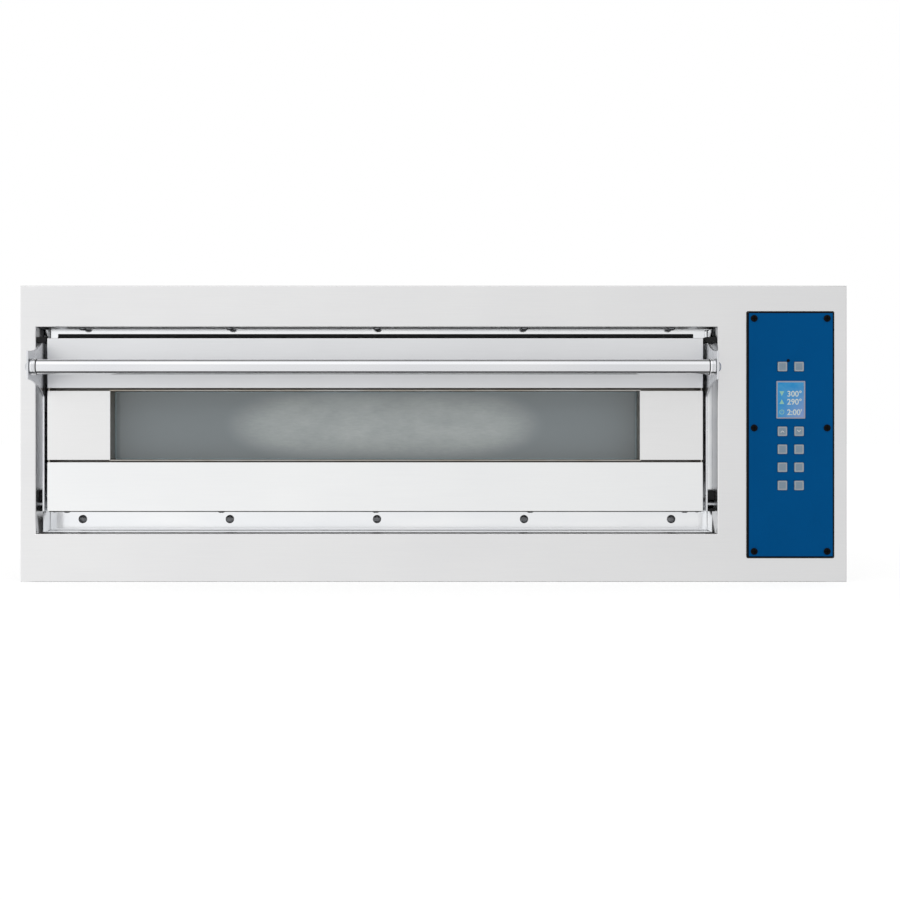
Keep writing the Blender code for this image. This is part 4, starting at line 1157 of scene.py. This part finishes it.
# %% Sensor window and glazing bead
sensor_at = Vector((0.5141, panel_low.y, 0.3212))
LENS_RIM, LENS_BARREL = 2.3 * MM, 1.9 * MM
LENS_FACE, LENS_FOOT, LENS_BACK = (sensor_at.y + back * MM for back in (-0.15, -0.02, 1.5))
lens = turned([(LENS_FACE, 0), (LENS_FACE, LENS_RIM), (LENS_FOOT, LENS_RIM), (LENS_FOOT, LENS_BARREL),
               (LENS_BACK, LENS_BARREL), (LENS_BACK, 0)], sensor_at, "Y", 32)
settle("sensor_window", lens, [black_oxide], "casing")


def glazing_bead(data):
    border(data, inset((pane_low.x, pane_high.x), 0.1 * MM), inset((pane_low.z, pane_high.z), 0.1 * MM),
           0.8 * MM, 1.4 * MM, pane_low.y - 1.2 * MM, pane_low.y - 0.05 * MM, 0)


settle("glazing_bead", mesh_from(glazing_bead), [bead_silicone_painted_highlight], "door")
print("small pieces made")

# %% [markdown]
# ## Floor and world
# The oven stands on a plain white floor in a white studio, lit evenly from all round. The floor is mostly
# plain white for the camera and keeps a faint contact shadow. Polished steel shows the studio, so the studio
# needs some form: a little brighter on the left, one bright panel above the front, a dark ceiling behind the
# oven and a dark card straight below. These give the tube its bright stripe and its two dark edges. Reflections
# pass through the floor and meet the same studio, so that it lies all round the metal.

# %% Floor
WHITE = (1.0, 1.0, 1.0, 1.0)
PAPER = (0.94, 0.94, 0.94, 1.0)
GLOW, GLOW_SHARE = 1.1, 0.70
FLOOR_HALF = 30.0
material = bpy.data.materials.new("white_studio_floor")
material.use_nodes = True
tree = material.node_tree
tree.nodes.clear()
path = add(tree, "ShaderNodeLightPath").outputs
white = add(tree, "ShaderNodeEmission", {"Color": WHITE, "Strength": GLOW}).outputs[0]
matt = add(tree, "ShaderNodeBsdfDiffuse", {"Color": PAPER}).outputs[0]
open_way = add(tree, "ShaderNodeBsdfTransparent").outputs[0]
direct = add(tree, "ShaderNodeMath", {0: path["Is Camera Ray"], 1: path["Is Transmission Ray"]},
             operation="ADD", use_clamp=True).outputs[0]
share = maths(tree, "MULTIPLY", direct, GLOW_SHARE)
seen = add(tree, "ShaderNodeMixShader", {0: share, 1: matt, 2: white}).outputs[0]
either = add(tree, "ShaderNodeMixShader", {0: path["Is Glossy Ray"], 1: seen, 2: open_way}).outputs[0]
add(tree, "ShaderNodeOutputMaterial", {"Surface": either})
floor_mesh = bpy.data.meshes.new("floor")
floor_mesh.from_pydata([(FLOOR_HALF * x, FLOOR_HALF * y, 0) for x, y in ((-1, -1), (1, -1), (1, 1), (-1, 1))],
                       [], [(0, 1, 2, 3)])
floor_mesh.materials.append(material)
floor = bpy.data.objects.new("floor", floor_mesh)
bpy.context.scene.collection.objects.link(floor)
print("floor", 2 * FLOOR_HALF, "m wide")

# %% World
world = bpy.data.worlds.new("white_studio")
bpy.context.scene.world = world
world.use_nodes = True
tree = world.node_tree
tree.nodes.clear()
ray = add(tree, "ShaderNodeLightPath").outputs
way = add(tree, "ShaderNodeSeparateXYZ", {0: add(tree, "ShaderNodeTexCoord").outputs["Generated"]}).outputs


def patch(change, *edges):
    """One plus a change inside a soft-edged patch; edges is a list of (axis, from, to, low, high) steps."""
    result = change
    for axis, start, end, low, high in edges:
        result = maths(tree, "MULTIPLY", result, spread(tree, way[axis], low, high, start, end, "SMOOTHSTEP"))
    return maths(tree, "ADD", 1.0, result)


sideways = spread(tree, way["X"], 1.16, 0.80, -0.4, 0.4)
bright_panel = patch(0.30, ("Z", 0.50, 0.72, 0.0, 1.0), ("Y", -0.18, -0.02, 1.0, 0.0))
dark_ceiling = patch(-0.75, ("Z", 0.45, 0.70, 0.0, 1.0), ("Y", -0.02, 0.16, 0.0, 1.0))
dark_card = patch(-0.92, ("Z", -0.92, -0.80, 1.0, 0.0), ("Y", -0.34, -0.22, 0.0, 1.0),
                  ("Y", 0.30, 0.42, 1.0, 0.0))
studio = sideways
for shape in (bright_panel, dark_ceiling, dark_card):
    studio = maths(tree, "MULTIPLY", studio, shape)
plain_sky = add(tree, "ShaderNodeBackground", {"Color": WHITE, "Strength": 1.0}).outputs[0]
mirrored_sky = add(tree, "ShaderNodeBackground", {"Color": WHITE, "Strength": studio}).outputs[0]
lit = add(tree, "ShaderNodeMixShader", {0: ray["Is Glossy Ray"], 1: plain_sky, 2: mirrored_sky}).outputs[0]
add(tree, "ShaderNodeOutputWorld", {"Surface": lit})
print("world has", len(tree.nodes), "nodes")
